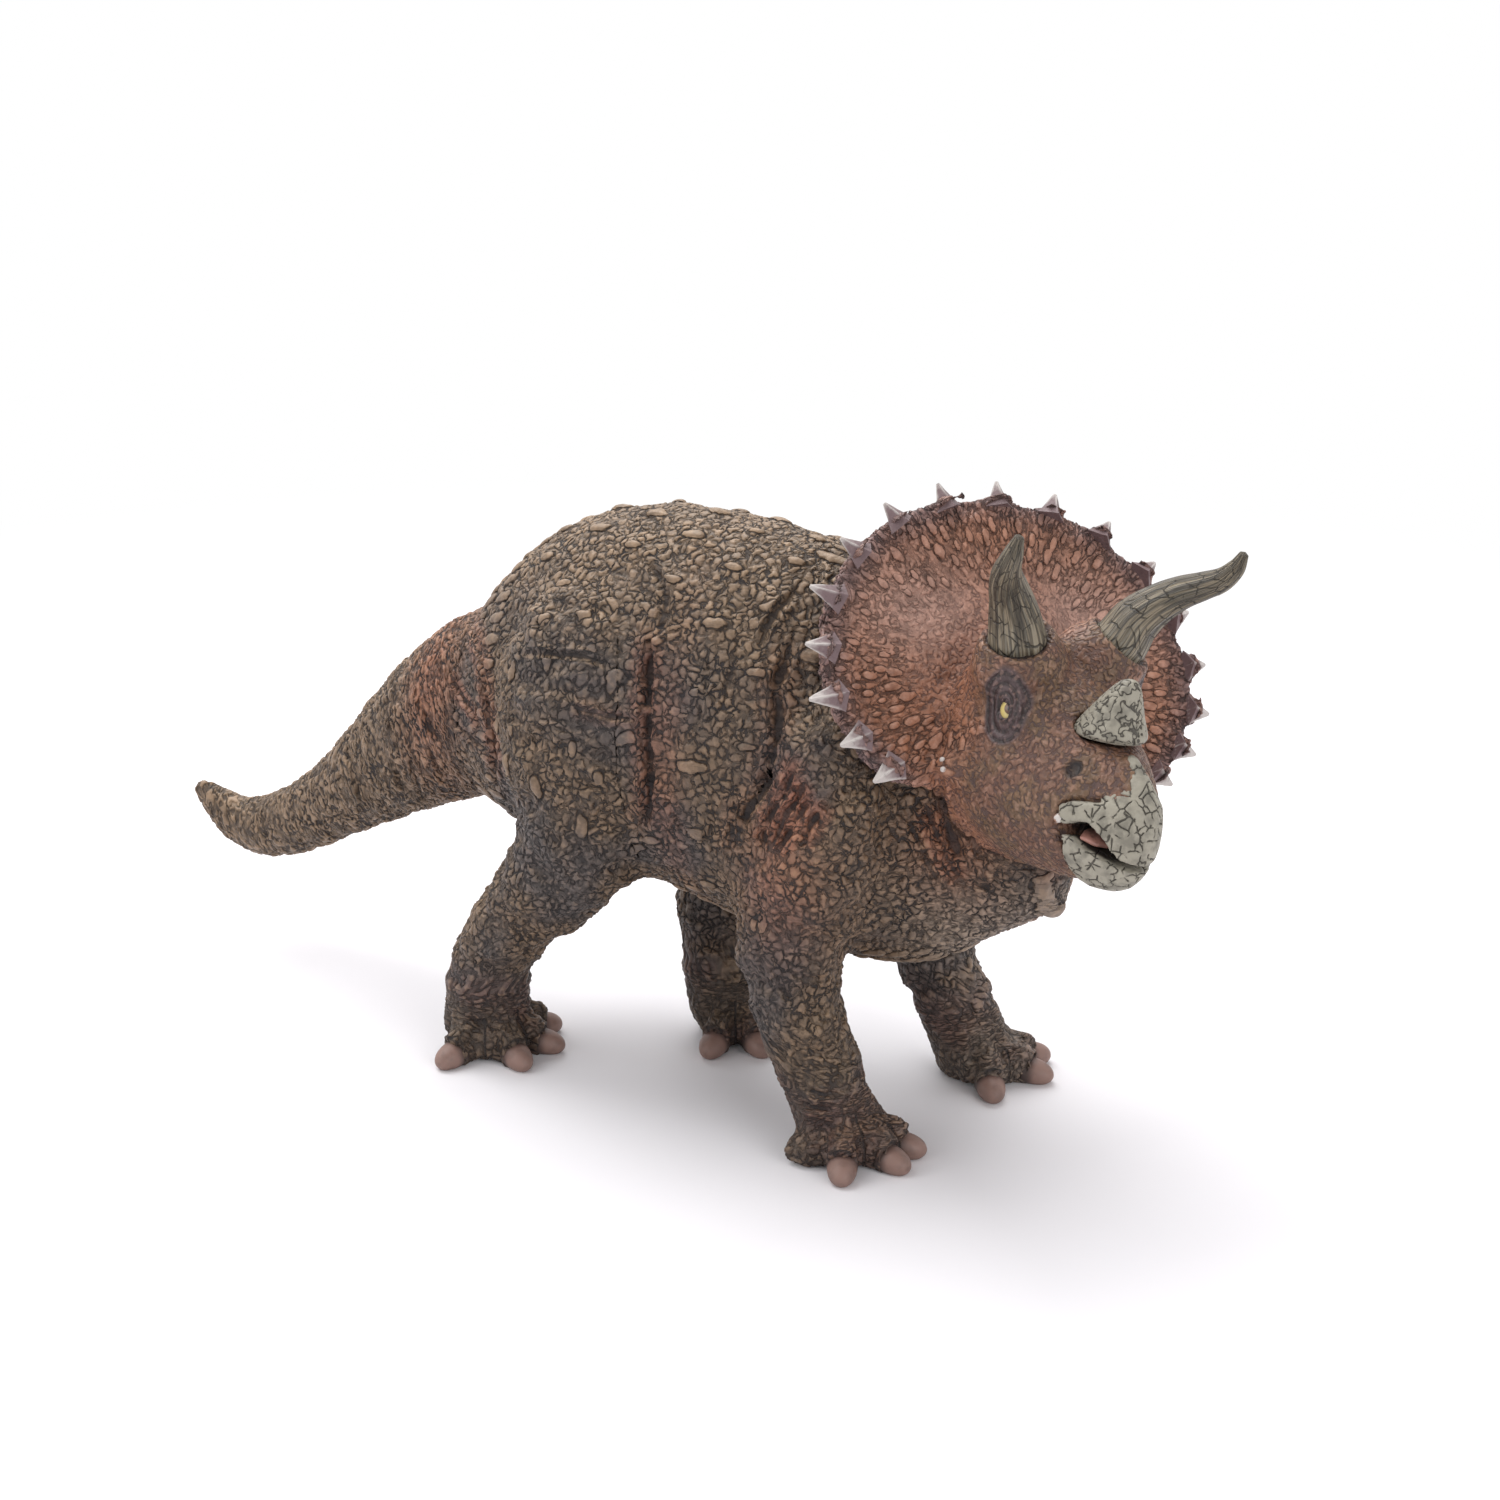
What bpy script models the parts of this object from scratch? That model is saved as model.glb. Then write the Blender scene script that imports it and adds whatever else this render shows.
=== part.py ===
"""Standing horned dinosaur figure, moulded in solid PVC and glued up from separate pieces.

The trunk carries everything: the four legs, the tail and the head plug into it with square
pegs. The head in turn carries two brow horns, a nose horn, the two halves of the beak and
the tongue. Nothing moves. Metres, +Z up, +X towards the head, feet on the floor at Z = 0.
"""

import math

import bmesh
import bpy
from mathutils import Matrix, Vector

# How the pieces fit together
FIT_GAP = 0.0003
CUT_OVERRUN = 0.004
FLOOR_CUT_SIZE = 0.300
PEG_SIDE = 0.007
PEG_LENGTH = 0.009

# Trunk, from the tail seam to the front of the throat
TRUNK_LENGTH = 0.118
TRUNK_DEPTH = 0.075
TRUNK_WIDTH = 0.056
TRUNK_AXIS_HEIGHT = 0.070
TRUNK_REAR_X = -0.050
CORE_INSET = 0.010

# Share of the length, rise of the centre and half depth in shares of the depth, half width
# in shares of the width, and the neck's sway to the left in shares of the sway
TRUNK_SHARES = (
    (0.000, -0.080, 0.232, 0.232, 0.0),
    (0.085, -0.032, 0.356, 0.338, 0.0),
    (0.205, 0.008, 0.428, 0.411, 0.0),
    (0.330, 0.026, 0.458, 0.464, 0.0),
    (0.465, -0.001, 0.474, 0.483, 0.0),
    (0.590, -0.036, 0.488, 0.469, 0.0),
    (0.700, -0.072, 0.478, 0.406, 0.3),
    (0.795, -0.162, 0.384, 0.285, 1.0),
    (0.880, -0.180, 0.261, 0.208, 0.8),
    (0.945, -0.203, 0.179, 0.176, 0.3),
    (0.985, -0.233, 0.097, 0.106, 0.0),
)
NECK_SWAY = 0.003
TRUNK_EGG_SHARE = 0.10

# Raised ovals of the hide. Every second corner of every second row of faces stands out
TRUNK_ROW_STEPS = 3
PLAIN_ROW_STEPS = 2
OVAL_HEIGHT = 0.0008
OVAL_ZONE_SHARES = (0.150, 0.770)
OVAL_LOWEST_SHARE = -0.72
OVAL_HEIGHT_SHARES = (1.00, 0.72, 0.90, 0.62, 0.82)

# Tail
TAIL_LENGTH = 0.0775
TAIL_ROOT_DEPTH = 0.046
TAIL_ROOT_WIDTH = 0.036
TAIL_DROP = 0.040
TAIL_SWAY = 0.006
# Share of the length, of the drop, of the root depth, of the root width and of the sway
TAIL_SHARES = (
    (-0.16, -0.12, 0.749, 0.749, 0.00),
    (-0.02, 0.02, 0.796, 0.824, 0.00),
    (0.16, 0.226, 0.655, 0.693, 0.05),
    (0.32, 0.464, 0.496, 0.534, 0.20),
    (0.48, 0.695, 0.370, 0.412, 0.50),
    (0.627, 0.885, 0.324, 0.356, 0.85),
    (0.760, 1.018, 0.303, 0.318, 1.00),
    (0.853, 1.040, 0.262, 0.271, 0.95),
    (0.920, 0.970, 0.192, 0.215, 0.85),
    (0.967, 0.885, 0.126, 0.140, 0.70),
    (0.993, 0.845, 0.070, 0.080, 0.60),
)

# Folds round the tail: a groove at every step of its length, from the rump to the tip
TAIL_FOLD_STEP = 0.0082
TAIL_FOLD_WIDTH = 0.0030
TAIL_FOLD_DEPTH = 0.0008
TAIL_FOLD_ZONE_SHARES = (0.12, 0.90)
TAIL_FOLD_DEPTH_SHARES = (1.00, 0.70, 0.90, 0.60)

# Legs, each seated at a share of the trunk's length and set into its side. A foot's step
# is how far ahead of the hip and how far out from it the foot stands
REAR_HIP_SHARE = 0.280
REAR_HIP_INSET = 0.0085
REAR_HIP_HEIGHT = 0.074
REAR_THIGH_LENGTH = 0.037
REAR_THIGH_WIDTH = 0.0225
KNEE_BEND = 0.009
REAR_FOOT_STEP = {"right": (-0.0245, -0.0037), "left": (0.0120, -0.0070)}
REAR_FOOT_TURN = {"right": -22.0, "left": -5.0}
# Height in shares of the hip height, lean, bend, out, half length and half width
REAR_LEG_SHARES = (
    (1.24, 0.00, 0.10, -0.50, 0.32, 0.28),
    (1.11, 0.00, 0.02, -0.10, 0.46, 0.43),
    (0.93, 0.02, 0.00, 0.00, 0.50, 0.49),
    (0.76, 0.15, 0.45, 0.05, 0.440, 0.48),
    (0.63, 0.32, 0.80, 0.15, 0.362, 0.455),
    (0.51, 0.47, 0.38, 0.35, 0.275, 0.42),
    (0.38, 0.68, -0.12, 0.60, 0.212, 0.385),
    (0.25, 0.86, -0.28, 0.80, 0.198, 0.365),
    (0.13, 0.97, -0.15, 0.95, 0.215, 0.38),
    (0.03, 1.00, 0.00, 1.00, 0.240, 0.40),
)
FRONT_HIP_SHARE = 0.678
FRONT_HIP_INSET = 0.0080
FRONT_HIP_HEIGHT = 0.064
FRONT_THIGH_LENGTH = 0.027
FRONT_THIGH_WIDTH = 0.0185
ELBOW_BEND = 0.009
FRONT_FOOT_STEP = {"right": (0.0060, -0.0005), "left": (0.0127, 0.0)}
FRONT_FOOT_TURN = {"right": -35.0, "left": 3.0}
FRONT_LEG_SHARES = (
    (1.26, 0.00, 0.00, -0.40, 0.30, 0.26),
    (1.12, 0.00, 0.00, -0.10, 0.44, 0.42),
    (0.92, 0.00, 0.00, 0.00, 0.50, 0.50),
    (0.72, 0.25, -0.55, 0.20, 0.450, 0.49),
    (0.56, 0.55, -1.00, 0.35, 0.372, 0.455),
    (0.40, 0.80, -0.92, 0.55, 0.290, 0.42),
    (0.22, 0.90, -0.50, 0.80, 0.255, 0.39),
    (0.08, 1.00, -0.10, 1.00, 0.290, 0.43),
    (0.02, 1.00, 0.00, 1.00, 0.310, 0.46),
)

# Knobs of the hide at every other corner of the rows from the ankle up to the belly, where
# only the outer side has them
KNOB_HEIGHT = 0.0012
KNOB_LOW_SHARE = 0.10
BELLY_SHARE = 0.42
FRONT_KNOB_TOP_SHARE = 0.60
REAR_KNOB_TOP_SHARE = 0.45

# Feet. Toes fan out from the middle of the foot, inner toe first
TOE_REACH = 0.0074
TOE_LENGTH = 0.0135
TOE_WIDTH = 0.0082
TOE_HEIGHT = 0.0098
NAIL_REACH = 0.0098
NAIL_LENGTH = 0.0066
NAIL_WIDTH = 0.0066
NAIL_HEIGHT = 0.0072
FRONT_TOE_TURNS = (49.0, 13.0, -29.0, -65.0, -87.0)
FRONT_NAILS = 3
REAR_TOE_TURNS = (72.0, 30.0, -16.0, -68.0)
REAR_NAILS = 4
# The outer toes of a front foot have no nail and are shorter
BARE_TOE_SHARE = 0.80

# Head: its own frame has +X along the snout, from the back of the skull
HEAD_SEAT_SHARE = 0.876
HEAD_OUT = 0.0012
HEAD_HEIGHT = 0.067
HEAD_TURN = -32.0
HEAD_NOD = -5.0
HEAD_TILT = -11.0
SKULL_LENGTH = 0.046
SKULL_DEPTH = 0.040
SKULL_WIDTH = 0.034
# Share of the length, centre height and half depth in shares of the depth, and half width
# in shares of the width
SKULL_SHARES = (
    (-0.13, 0.130, 0.270, 0.330),
    (0.03, 0.150, 0.430, 0.480),
    (0.20, 0.150, 0.475, 0.500),
    (0.37, 0.130, 0.455, 0.450),
    (0.53, 0.070, 0.380, 0.385),
    (0.68, 0.030, 0.312, 0.330),
    (0.775, 0.010, 0.290, 0.225),
    (0.855, -0.008, 0.250, 0.148),
    (0.920, -0.015, 0.170, 0.092),
)

HEAD_PEG_X = 0.0100
HEAD_PEG_HEIGHT = -0.0030

# Frill: a dished shield round the back of the skull
FRILL_RISE = 0.0324
FRILL_HALF_WIDTH = 0.0388
FRILL_DROP = 0.0255
FRILL_FULLNESS = 2.1
FRILL_CENTRE_X = 0.0015
FRILL_CENTRE_OUT = 0.0006
FRILL_CENTRE_HEIGHT = 0.0175
FRILL_LEAN = 26.0
FRILL_SPREAD = 124.0
FRILL_THICKNESS = 0.0042
FRILL_DISH = 0.0025
FRILL_ROOT_OUT = 0.0100
FRILL_ROOT_RISE = 0.0050
FRILL_ROOT_DROP = 0.0340
FRILL_ROOT_FORWARD = 0.0150
FRILL_ARC_STEPS = 17
FRILL_RING_STEPS = 3
SPIKE_COUNT = 17
SPIKE_END_SHARE = 0.15
SPIKE_CROWD_SHARE = 0.20
SPIKE_LENGTH = 0.0044
SPIKE_WIDTH = 0.0066
SPIKE_SINK = 0.0022
SPIKE_TIP_WIDTH = 0.0014
SPIKE_SIDES = 4

# Brow horns
HORN_BASE_X = 0.0151
HORN_BASE_OUT = 0.0103
HORN_BASE_HEIGHT = 0.0259
HORN_RADIUS = 0.0057
HORN_SWEEP = 0.0136
HORN_SPLAY = 0.0117
HORN_RISE = 0.0176
HORN_PEG_RADIUS = 0.0032
HORN_PEG_LENGTH = 0.006
HORN_BOSS_WIDTH = 0.0178
HORN_BOSS_DEPTH = 0.0140
HORN_BOSS_PROUD = 0.0016
# Shares of the sweep, splay, rise and radius along a horn
HORN_SHARES = (
    (0.00, 0.00, 0.00, 1.00),
    (0.13, 0.14, 0.20, 0.94),
    (0.30, 0.34, 0.38, 0.82),
    (0.48, 0.56, 0.53, 0.69),
    (0.66, 0.75, 0.65, 0.56),
    (0.82, 0.90, 0.77, 0.42),
    (0.93, 0.98, 0.89, 0.30),
    (1.00, 1.00, 1.00, 0.14),
)

# Nose horn
NOSE_HORN_X = 0.0288
NOSE_HORN_HEIGHT = 0.0121
NOSE_HORN_LENGTH = 0.0135
NOSE_HORN_WIDTH = 0.0122
NOSE_HORN_RISE = 0.0110
NOSE_HORN_LEAN = 0.0045
# Share of the rise and of the width up the nose horn
NOSE_HORN_SHARES = (
    (0.00, 1.00),
    (0.15, 1.00),
    (0.50, 0.70),
    (0.80, 0.42),
    (0.95, 0.22),
)

# Beak, tongue and mouth, drawn in the head's side view
BEAK_PROUD = 0.0005
BEAK_LENGTH = 0.0140
BEAK_DEPTH = 0.0240
BEAK_REAR_X = 0.0322
BEAK_BOTTOM = -0.0125
# Lines in shares of the beak's length and depth, from its rear bottom corner. The upper
# half's rear edge runs from the top down to the mouth, the lower half's from the mouth down
UPPER_REAR_SHARES = (
    (0.30, 1.40),
    (0.26, 0.97),
    (0.35, 0.87),
    (0.36, 0.78),
    (0.39, 0.70),
    (0.30, 0.68),
    (0.14, 0.665),
    (0.02, 0.615),
)
UPPER_LIP_SHARES = (
    (0.07, 0.470),
    (0.18, 0.510),
    (0.32, 0.525),
    (0.46, 0.465),
    (0.56, 0.392),
    (0.65, 0.318),
    (0.78, 0.288),
    (1.60, 0.288),
)
MOUTH_CORNER_SHARE = (-0.06, 0.500)
LOWER_LIP_SHARES = (
    (0.07, 0.430),
    (0.17, 0.435),
    (0.29, 0.368),
    (0.45, 0.326),
    (0.64, 0.283),
    (0.78, 0.262),
    (1.60, 0.262),
)
LOWER_REAR_SHARES = (
    (0.05, 0.25),
    (0.07, 0.10),
    (0.12, -0.40),
)
BEAK_TOP_SHARE = (1.60, 1.40)
BEAK_FOOT_SHARE = (1.60, -0.40)
TONGUE_LENGTH = 0.0056
TONGUE_WIDTH = 0.0124
TONGUE_X = 0.0376

# Eyes, nostrils and cheek points
EYE_X = 0.0183
EYE_HEIGHT = 0.0143
EYE_OUT = 0.0120
EYE_SIZE = 0.0044
LID_LENGTH = 0.0086
LID_HEIGHT = 0.0078
LID_DEPTH = 0.0044
SOCKET_SIZE = 0.0054
SOCKET_PROUD = 0.0012
NOSTRIL_X = 0.0322
NOSTRIL_OUT = 0.0083
NOSTRIL_HEIGHT = 0.0080
NOSTRIL_LENGTH = 0.0030
NOSTRIL_DEPTH = 0.0026
CHEEK_X = 0.0093
CHEEK_OUT = 0.0164
CHEEK_HEIGHT = 0.0031
CHEEK_LENGTH = 0.0046
CHEEK_WIDTH = 0.0038

CORE_AROUND = 14
TRUNK_AROUND = 36
TAIL_AROUND = 16
LIMB_AROUND = 10
SKULL_AROUND = 12
SMALL_AROUND = 8
SMALL_RINGS = 5
BAR_SIDES = 16
SIDES = {"right": -1, "left": 1}

SKIN_BROWN = (0.115, 0.088, 0.055)
SKIN_ROUGHNESS = 0.62
HEAD_BROWN = (0.190, 0.092, 0.045)
HORN_OLIVE = (0.185, 0.170, 0.100)
BEAK_GREY = (0.400, 0.400, 0.330)
TONGUE_PINK = (0.330, 0.150, 0.110)
HARD_ROUGHNESS = 0.50


def empty_scene():
    """Removes whatever the scene holds and makes the two collections."""
    for obj in list(bpy.data.objects):
        bpy.data.objects.remove(obj)
    made = []
    for name in ("dinosaur_figure", "cutters"):
        collection = bpy.data.collections.new(name)
        bpy.context.scene.collection.children.link(collection)
        made.append(collection)
    return made


def paint(name, colour, roughness):
    """A plain Principled material."""
    material = bpy.data.materials.new(name)
    material.use_nodes = True
    shader = material.node_tree.nodes["Principled BSDF"]
    shader.inputs["Base Color"].default_value = (*colour, 1.0)
    shader.inputs["Roughness"].default_value = roughness
    shader.inputs["Metallic"].default_value = 0.0
    material.diffuse_color = (*colour, 1.0)
    return material


def part(name, data, material, parent=None):
    """A piece of the figure."""
    obj = bpy.data.objects.new(name, data)
    figure.objects.link(obj)
    obj.parent = parent or origin
    obj.data.materials.append(material)
    return obj


def cutter(name, mesh, group=None, parent=None):
    """A helper that only cuts or joins, and is never rendered."""
    obj = bpy.data.objects.new(name, mesh)
    (group or cutters).objects.link(obj)
    obj.parent = parent or origin
    obj.hide_render = True
    obj.display_type = "WIRE"
    return obj


def holder(name, parent=None):
    """An empty that carries a frame of its own."""
    obj = bpy.data.objects.new(name, None)
    figure.objects.link(obj)
    obj.parent = parent
    return obj


def helper_group(name):
    """A collection of helpers that one Boolean uses together."""
    group = bpy.data.collections.new(name)
    cutters.children.link(group)
    return group


def mesh_of(name, bm):
    """Turns a bmesh into a smooth-shaded mesh whose faces point out."""
    bmesh.ops.recalc_face_normals(bm, faces=bm.faces)
    mesh = bpy.data.meshes.new(name)
    bm.to_mesh(mesh)
    bm.free()
    mesh.shade_smooth()
    return mesh


def tube_mesh(name, rings, poles):
    """Skins a list of rings of points and closes both ends with a fan to its pole."""
    bm = bmesh.new()
    loops = [[bm.verts.new(point) for point in ring] for ring in rings]
    around = len(loops[0])
    for first, second in zip(loops, loops[1:]):
        for i in range(around):
            j = (i + 1) % around
            bm.faces.new((first[i], first[j], second[j], second[i]))
    for loop, point in zip((loops[0], loops[-1]), poles):
        tip = bm.verts.new(point)
        for i in range(around):
            bm.faces.new((loop[i], loop[(i + 1) % around], tip))
    return mesh_of(name, bm)


def oval(centre, side, rise, half_side, half_rise, around, egg):
    """Points round an oval that is wider below its centre by the share egg."""
    points = []
    for i in range(around):
        turn = math.tau * i / around
        widening = 1.0 - egg * math.sin(turn)
        out = side * half_side * math.cos(turn) * widening
        points.append(centre + out + rise * half_rise * math.sin(turn))
    return points


def limb_mesh(name, stations, around, grow=0.0, egg=0.0, level_rings=False, relief=None):
    """Lofts ovals along stations of (centre, half side, half rise).

    The ovals stand square to the path, or upright if level_rings is set. A grown limb is
    larger by that distance on every side, for the clearance round its neighbour. A relief
    moves each point, given its row and its number in the row.
    """
    centres = [station[0] for station in stations]
    last = len(centres) - 1
    rings = []
    previous = Vector((1.0, 0.0, 1.0))
    for i, (centre, half_side, half_rise) in enumerate(stations):
        along = (centres[min(i + 1, last)] - centres[max(i - 1, 0)]).normalized()
        if level_rings:
            along = Vector((math.copysign(1.0, along.x), 0.0, 0.0))
        side = Vector((0.0, 1.0, 0.0))
        side = (side - along * side.dot(along)).normalized()
        rise = along.cross(side)
        if rise.dot(previous) < 0.0:
            rise = -rise
        previous = rise
        ring = oval(centre, side, rise, half_side + grow, half_rise + grow, around, egg)
        if relief:
            ring = [relief(point, i, corner) for corner, point in enumerate(ring)]
        rings.append(ring)
    poles = []
    for end, inner in ((0, 1), (last, last - 1)):
        outward = (centres[end] - centres[inner]).normalized()
        dome = min(stations[end][1], stations[end][2]) / 2 + grow
        poles.append(centres[end] + outward * dome)
    return tube_mesh(name, rings, poles)


def blended(stations, place):
    """The station at a place along the smooth curve that the given stations draw in to.

    Whole numbers of place are the stations themselves, of which the curve rounds the turns.
    """
    low = min(int(place), len(stations) - 2)
    t = place - low
    first, second = stations[low], stations[low + 1]
    before = stations[low - 1] if low else mirrored(second, first)
    last = low + 2 == len(stations)
    after = mirrored(first, second) if last else stations[low + 2]
    weights = (
        (1 - t) ** 3 / 6,
        (3 * t**3 - 6 * t**2 + 4) / 6,
        (-3 * t**3 + 3 * t**2 + 3 * t + 1) / 6,
        t**3 / 6,
    )
    blend = [value * weights[0] for value in before]
    for station, weight in zip((first, second, after), weights[1:]):
        blend = [sum_so_far + value * weight for sum_so_far, value in zip(blend, station)]
    return tuple(blend)


def mirrored(station, end):
    """The station that lies as far beyond an end as another lies before it."""
    return tuple(2 * b - a for a, b in zip(station, end))


def box_mesh(name, centre, size, turn=None):
    """A box of the given size, turned by a 3x3 matrix about its centre."""
    bm = bmesh.new()
    bmesh.ops.create_cube(bm, size=1.0)
    bmesh.ops.scale(bm, vec=size, verts=bm.verts)
    place = Matrix.Translation(centre) @ (turn or Matrix.Identity(3)).to_4x4()
    bmesh.ops.transform(bm, matrix=place, verts=bm.verts)
    return mesh_of(name, bm)


def ball_mesh(name, size, around=SMALL_AROUND, rings=SMALL_RINGS):
    """An ellipsoid of the given overall size, centred on its own origin."""
    bm = bmesh.new()
    bmesh.ops.create_uvsphere(bm, u_segments=around, v_segments=rings, radius=0.5)
    bmesh.ops.scale(bm, vec=size, verts=bm.verts)
    return mesh_of(name, bm)


def inset(outline, distance):
    """Moves every edge of a closed outline of (x, z) points inwards."""
    points = [Vector(point) for point in outline]
    pairs = list(zip(points, points[1:] + points[:1]))
    area = sum(a.x * b.y - b.x * a.y for a, b in pairs)
    edges = [(b - a).normalized() for a, b in pairs]
    inward = [Vector((-edge.y, edge.x)) * math.copysign(1.0, area) for edge in edges]
    moved = []
    for i, point in enumerate(points):
        before, after = inward[i - 1], inward[i]
        moved.append(point + (before + after) * distance / (1 + before.dot(after)))
    return moved


def prism_mesh(name, outline, half_width):
    """A closed outline of (x, z) points drawn out to both sides of the head's middle."""
    bm = bmesh.new()
    near = [bm.verts.new((x, -half_width, z)) for x, z in outline]
    face = bm.faces.new(near)
    drawn = bmesh.ops.extrude_face_region(bm, geom=[face])
    moved = [item for item in drawn["geom"] if isinstance(item, bmesh.types.BMVert)]
    bmesh.ops.translate(bm, vec=(0.0, 2 * half_width, 0.0), verts=moved)
    return mesh_of(name, bm)


def boolean(obj, operation, others, solver="EXACT"):
    """Adds a Boolean with each of some closed objects.

    The manifold solver is for the limbs and the head, where the exact one leaves edges open
    after many joins.
    """
    for other in others:
        modifier = obj.modifiers.new(f"{operation.title()} {other.name}", "BOOLEAN")
        modifier.operation = operation
        modifier.solver = solver
        modifier.object = other


def smooth_form(obj, levels=1):
    """Rounds a coarse cage."""
    modifier = obj.modifiers.new("Rounding", "SUBSURF")
    modifier.levels = levels
    modifier.render_levels = levels
    return modifier


def trunk_stations(core_inset=0.0):
    """The trunk's ovals, or those of the core inside it."""
    stations = []
    for along, rise, half_depth, half_width, sway in TRUNK_SHARES:
        centre = Vector(
            (
                TRUNK_REAR_X + along * TRUNK_LENGTH,
                sway * NECK_SWAY,
                TRUNK_AXIS_HEIGHT + rise * TRUNK_DEPTH,
            )
        )
        stations.append(
            (
                centre,
                max(half_width * TRUNK_WIDTH - core_inset, half_width * TRUNK_WIDTH / 2),
                max(half_depth * TRUNK_DEPTH - core_inset / 2, half_depth * TRUNK_DEPTH / 2),
            )
        )
    return stations


def trunk_mesh(name, grow=0.0, ovals=0.0):
    """The trunk's loft in fine rows, with its raised ovals where they have a height."""
    coarse = trunk_stations()
    shares = [row[0] for row in TRUNK_SHARES]
    stations = []
    for i, (start, end) in enumerate(zip(shares, shares[1:])):
        plain = end < OVAL_ZONE_SHARES[0] or start > OVAL_ZONE_SHARES[1]
        steps = PLAIN_ROW_STEPS if plain else TRUNK_ROW_STEPS
        stations += [blended(coarse, i + j / steps) for j in range(steps)]
    stations.append(coarse[-1])

    def raised(point, row, corner):
        centre = stations[row][0]
        share = (centre.x - TRUNK_REAR_X) / TRUNK_LENGTH
        out = point - centre
        low = out.z < OVAL_LOWEST_SHARE * stations[row][2]
        skipped = row % 2 or (corner + row // 2) % 2
        if skipped or low or not OVAL_ZONE_SHARES[0] < share < OVAL_ZONE_SHARES[1]:
            return point
        height = OVAL_HEIGHT_SHARES[(row + corner) % len(OVAL_HEIGHT_SHARES)]
        return point + out.normalized() * ovals * height

    return limb_mesh(
        name, stations, TRUNK_AROUND, grow, TRUNK_EGG_SHARE, level_rings=True, relief=raised
    )


def core_mesh(name, grow=0.0):
    """The plain core inside the trunk, against which the legs rest."""
    stations = trunk_stations(CORE_INSET)
    return limb_mesh(name, stations, CORE_AROUND, grow, TRUNK_EGG_SHARE, level_rings=True)


LEGS = {
    "rear": {
        "shares": REAR_LEG_SHARES,
        "hip": (REAR_HIP_SHARE, REAR_HIP_INSET, REAR_HIP_HEIGHT),
        "size": (REAR_THIGH_LENGTH, REAR_THIGH_WIDTH),
        "bend": KNEE_BEND,
        "foot_step": REAR_FOOT_STEP,
        "foot_turn": REAR_FOOT_TURN,
        "knob_top": REAR_KNOB_TOP_SHARE,
        "toes": REAR_TOE_TURNS,
        "nails": REAR_NAILS,
    },
    "front": {
        "shares": FRONT_LEG_SHARES,
        "hip": (FRONT_HIP_SHARE, FRONT_HIP_INSET, FRONT_HIP_HEIGHT),
        "size": (FRONT_THIGH_LENGTH, FRONT_THIGH_WIDTH),
        "bend": ELBOW_BEND,
        "foot_step": FRONT_FOOT_STEP,
        "foot_turn": FRONT_FOOT_TURN,
        "knob_top": FRONT_KNOB_TOP_SHARE,
        "toes": FRONT_TOE_TURNS,
        "nails": FRONT_NAILS,
    },
}


def hip_place(leg):
    """Where a leg is seated on the trunk: along it, out from its middle, and height."""
    share, inset_depth, height = leg["hip"]
    return TRUNK_REAR_X + share * TRUNK_LENGTH, TRUNK_WIDTH / 2 - inset_depth, height


def foot_place(leg, side):
    """The middle of a foot on the floor."""
    hip_x, hip_out, _ = hip_place(leg)
    ahead, out = leg["foot_step"][side]
    return Vector((hip_x + ahead, SIDES[side] * (hip_out + out), 0.0))


def leg_stations(leg, side):
    """The ovals of a leg from the top of the thigh down to the sole."""
    hip_x, hip_out, hip_height = hip_place(leg)
    length, width = leg["size"]
    step_ahead, step_out = leg["foot_step"][side]
    stations = []
    for height, lean, bend, out, half_length, half_width in leg["shares"]:
        centre = Vector(
            (
                hip_x + lean * step_ahead + bend * leg["bend"],
                SIDES[side] * (hip_out + out * step_out),
                height * hip_height,
            )
        )
        if out < 0:
            centre.y = SIDES[side] * (hip_out + out * width / 2)
        stations.append((centre, half_width * width, half_length * length))
    return stations


def leg_mesh(name, leg, side):
    """The leg's loft, with knobs on its hide between the ankle and the belly."""
    stations = leg_stations(leg, side)

    def raised(point, row, corner):
        height = leg["shares"][row][0]
        out = point - stations[row][0]
        inner = out.y * SIDES[side] < stations[row][1] / 2
        if (row + corner) % 2 or not KNOB_LOW_SHARE < height < leg["knob_top"]:
            return point
        if inner and height > BELLY_SHARE:
            return point
        return point + out.normalized() * KNOB_HEIGHT

    return limb_mesh(name, stations, LIMB_AROUND, relief=raised)


def leg_form(name, leg, side, grow=0.0):
    """A rounded solid of the leg without its toes."""
    form = cutter(name, limb_mesh(name, leg_stations(leg, side), LIMB_AROUND, grow))
    smooth_form(form)
    return form


def foot_details(name, leg, side):
    """The toes and nails of one foot, fanned out from the middle of the sole."""
    group = helper_group(name)
    middle = foot_place(leg, side)
    for i, turn in enumerate(leg["toes"]):
        heading = math.radians(leg["foot_turn"][side] - SIDES[side] * turn)
        reach = Vector((math.cos(heading), math.sin(heading), 0.0))
        bare = i >= leg["nails"]
        share = BARE_TOE_SHARE if bare else 1.0
        toe = cutter(
            f"{name}_toe_{i}",
            ball_mesh(name, (TOE_LENGTH, TOE_WIDTH * share, TOE_HEIGHT * share)),
            group,
        )
        toe.location = middle + reach * TOE_REACH * share
        toe.location.z = TOE_HEIGHT * share / 3
        toe.rotation_euler.z = heading
        if bare:
            continue
        nail = cutter(
            f"{name}_nail_{i}",
            ball_mesh(name, (NAIL_LENGTH, NAIL_WIDTH, NAIL_HEIGHT)),
            group,
        )
        nail.location = middle + reach * NAIL_REACH
        nail.location.z = NAIL_HEIGHT / 3
        nail.rotation_euler.z = heading
    return group


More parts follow.
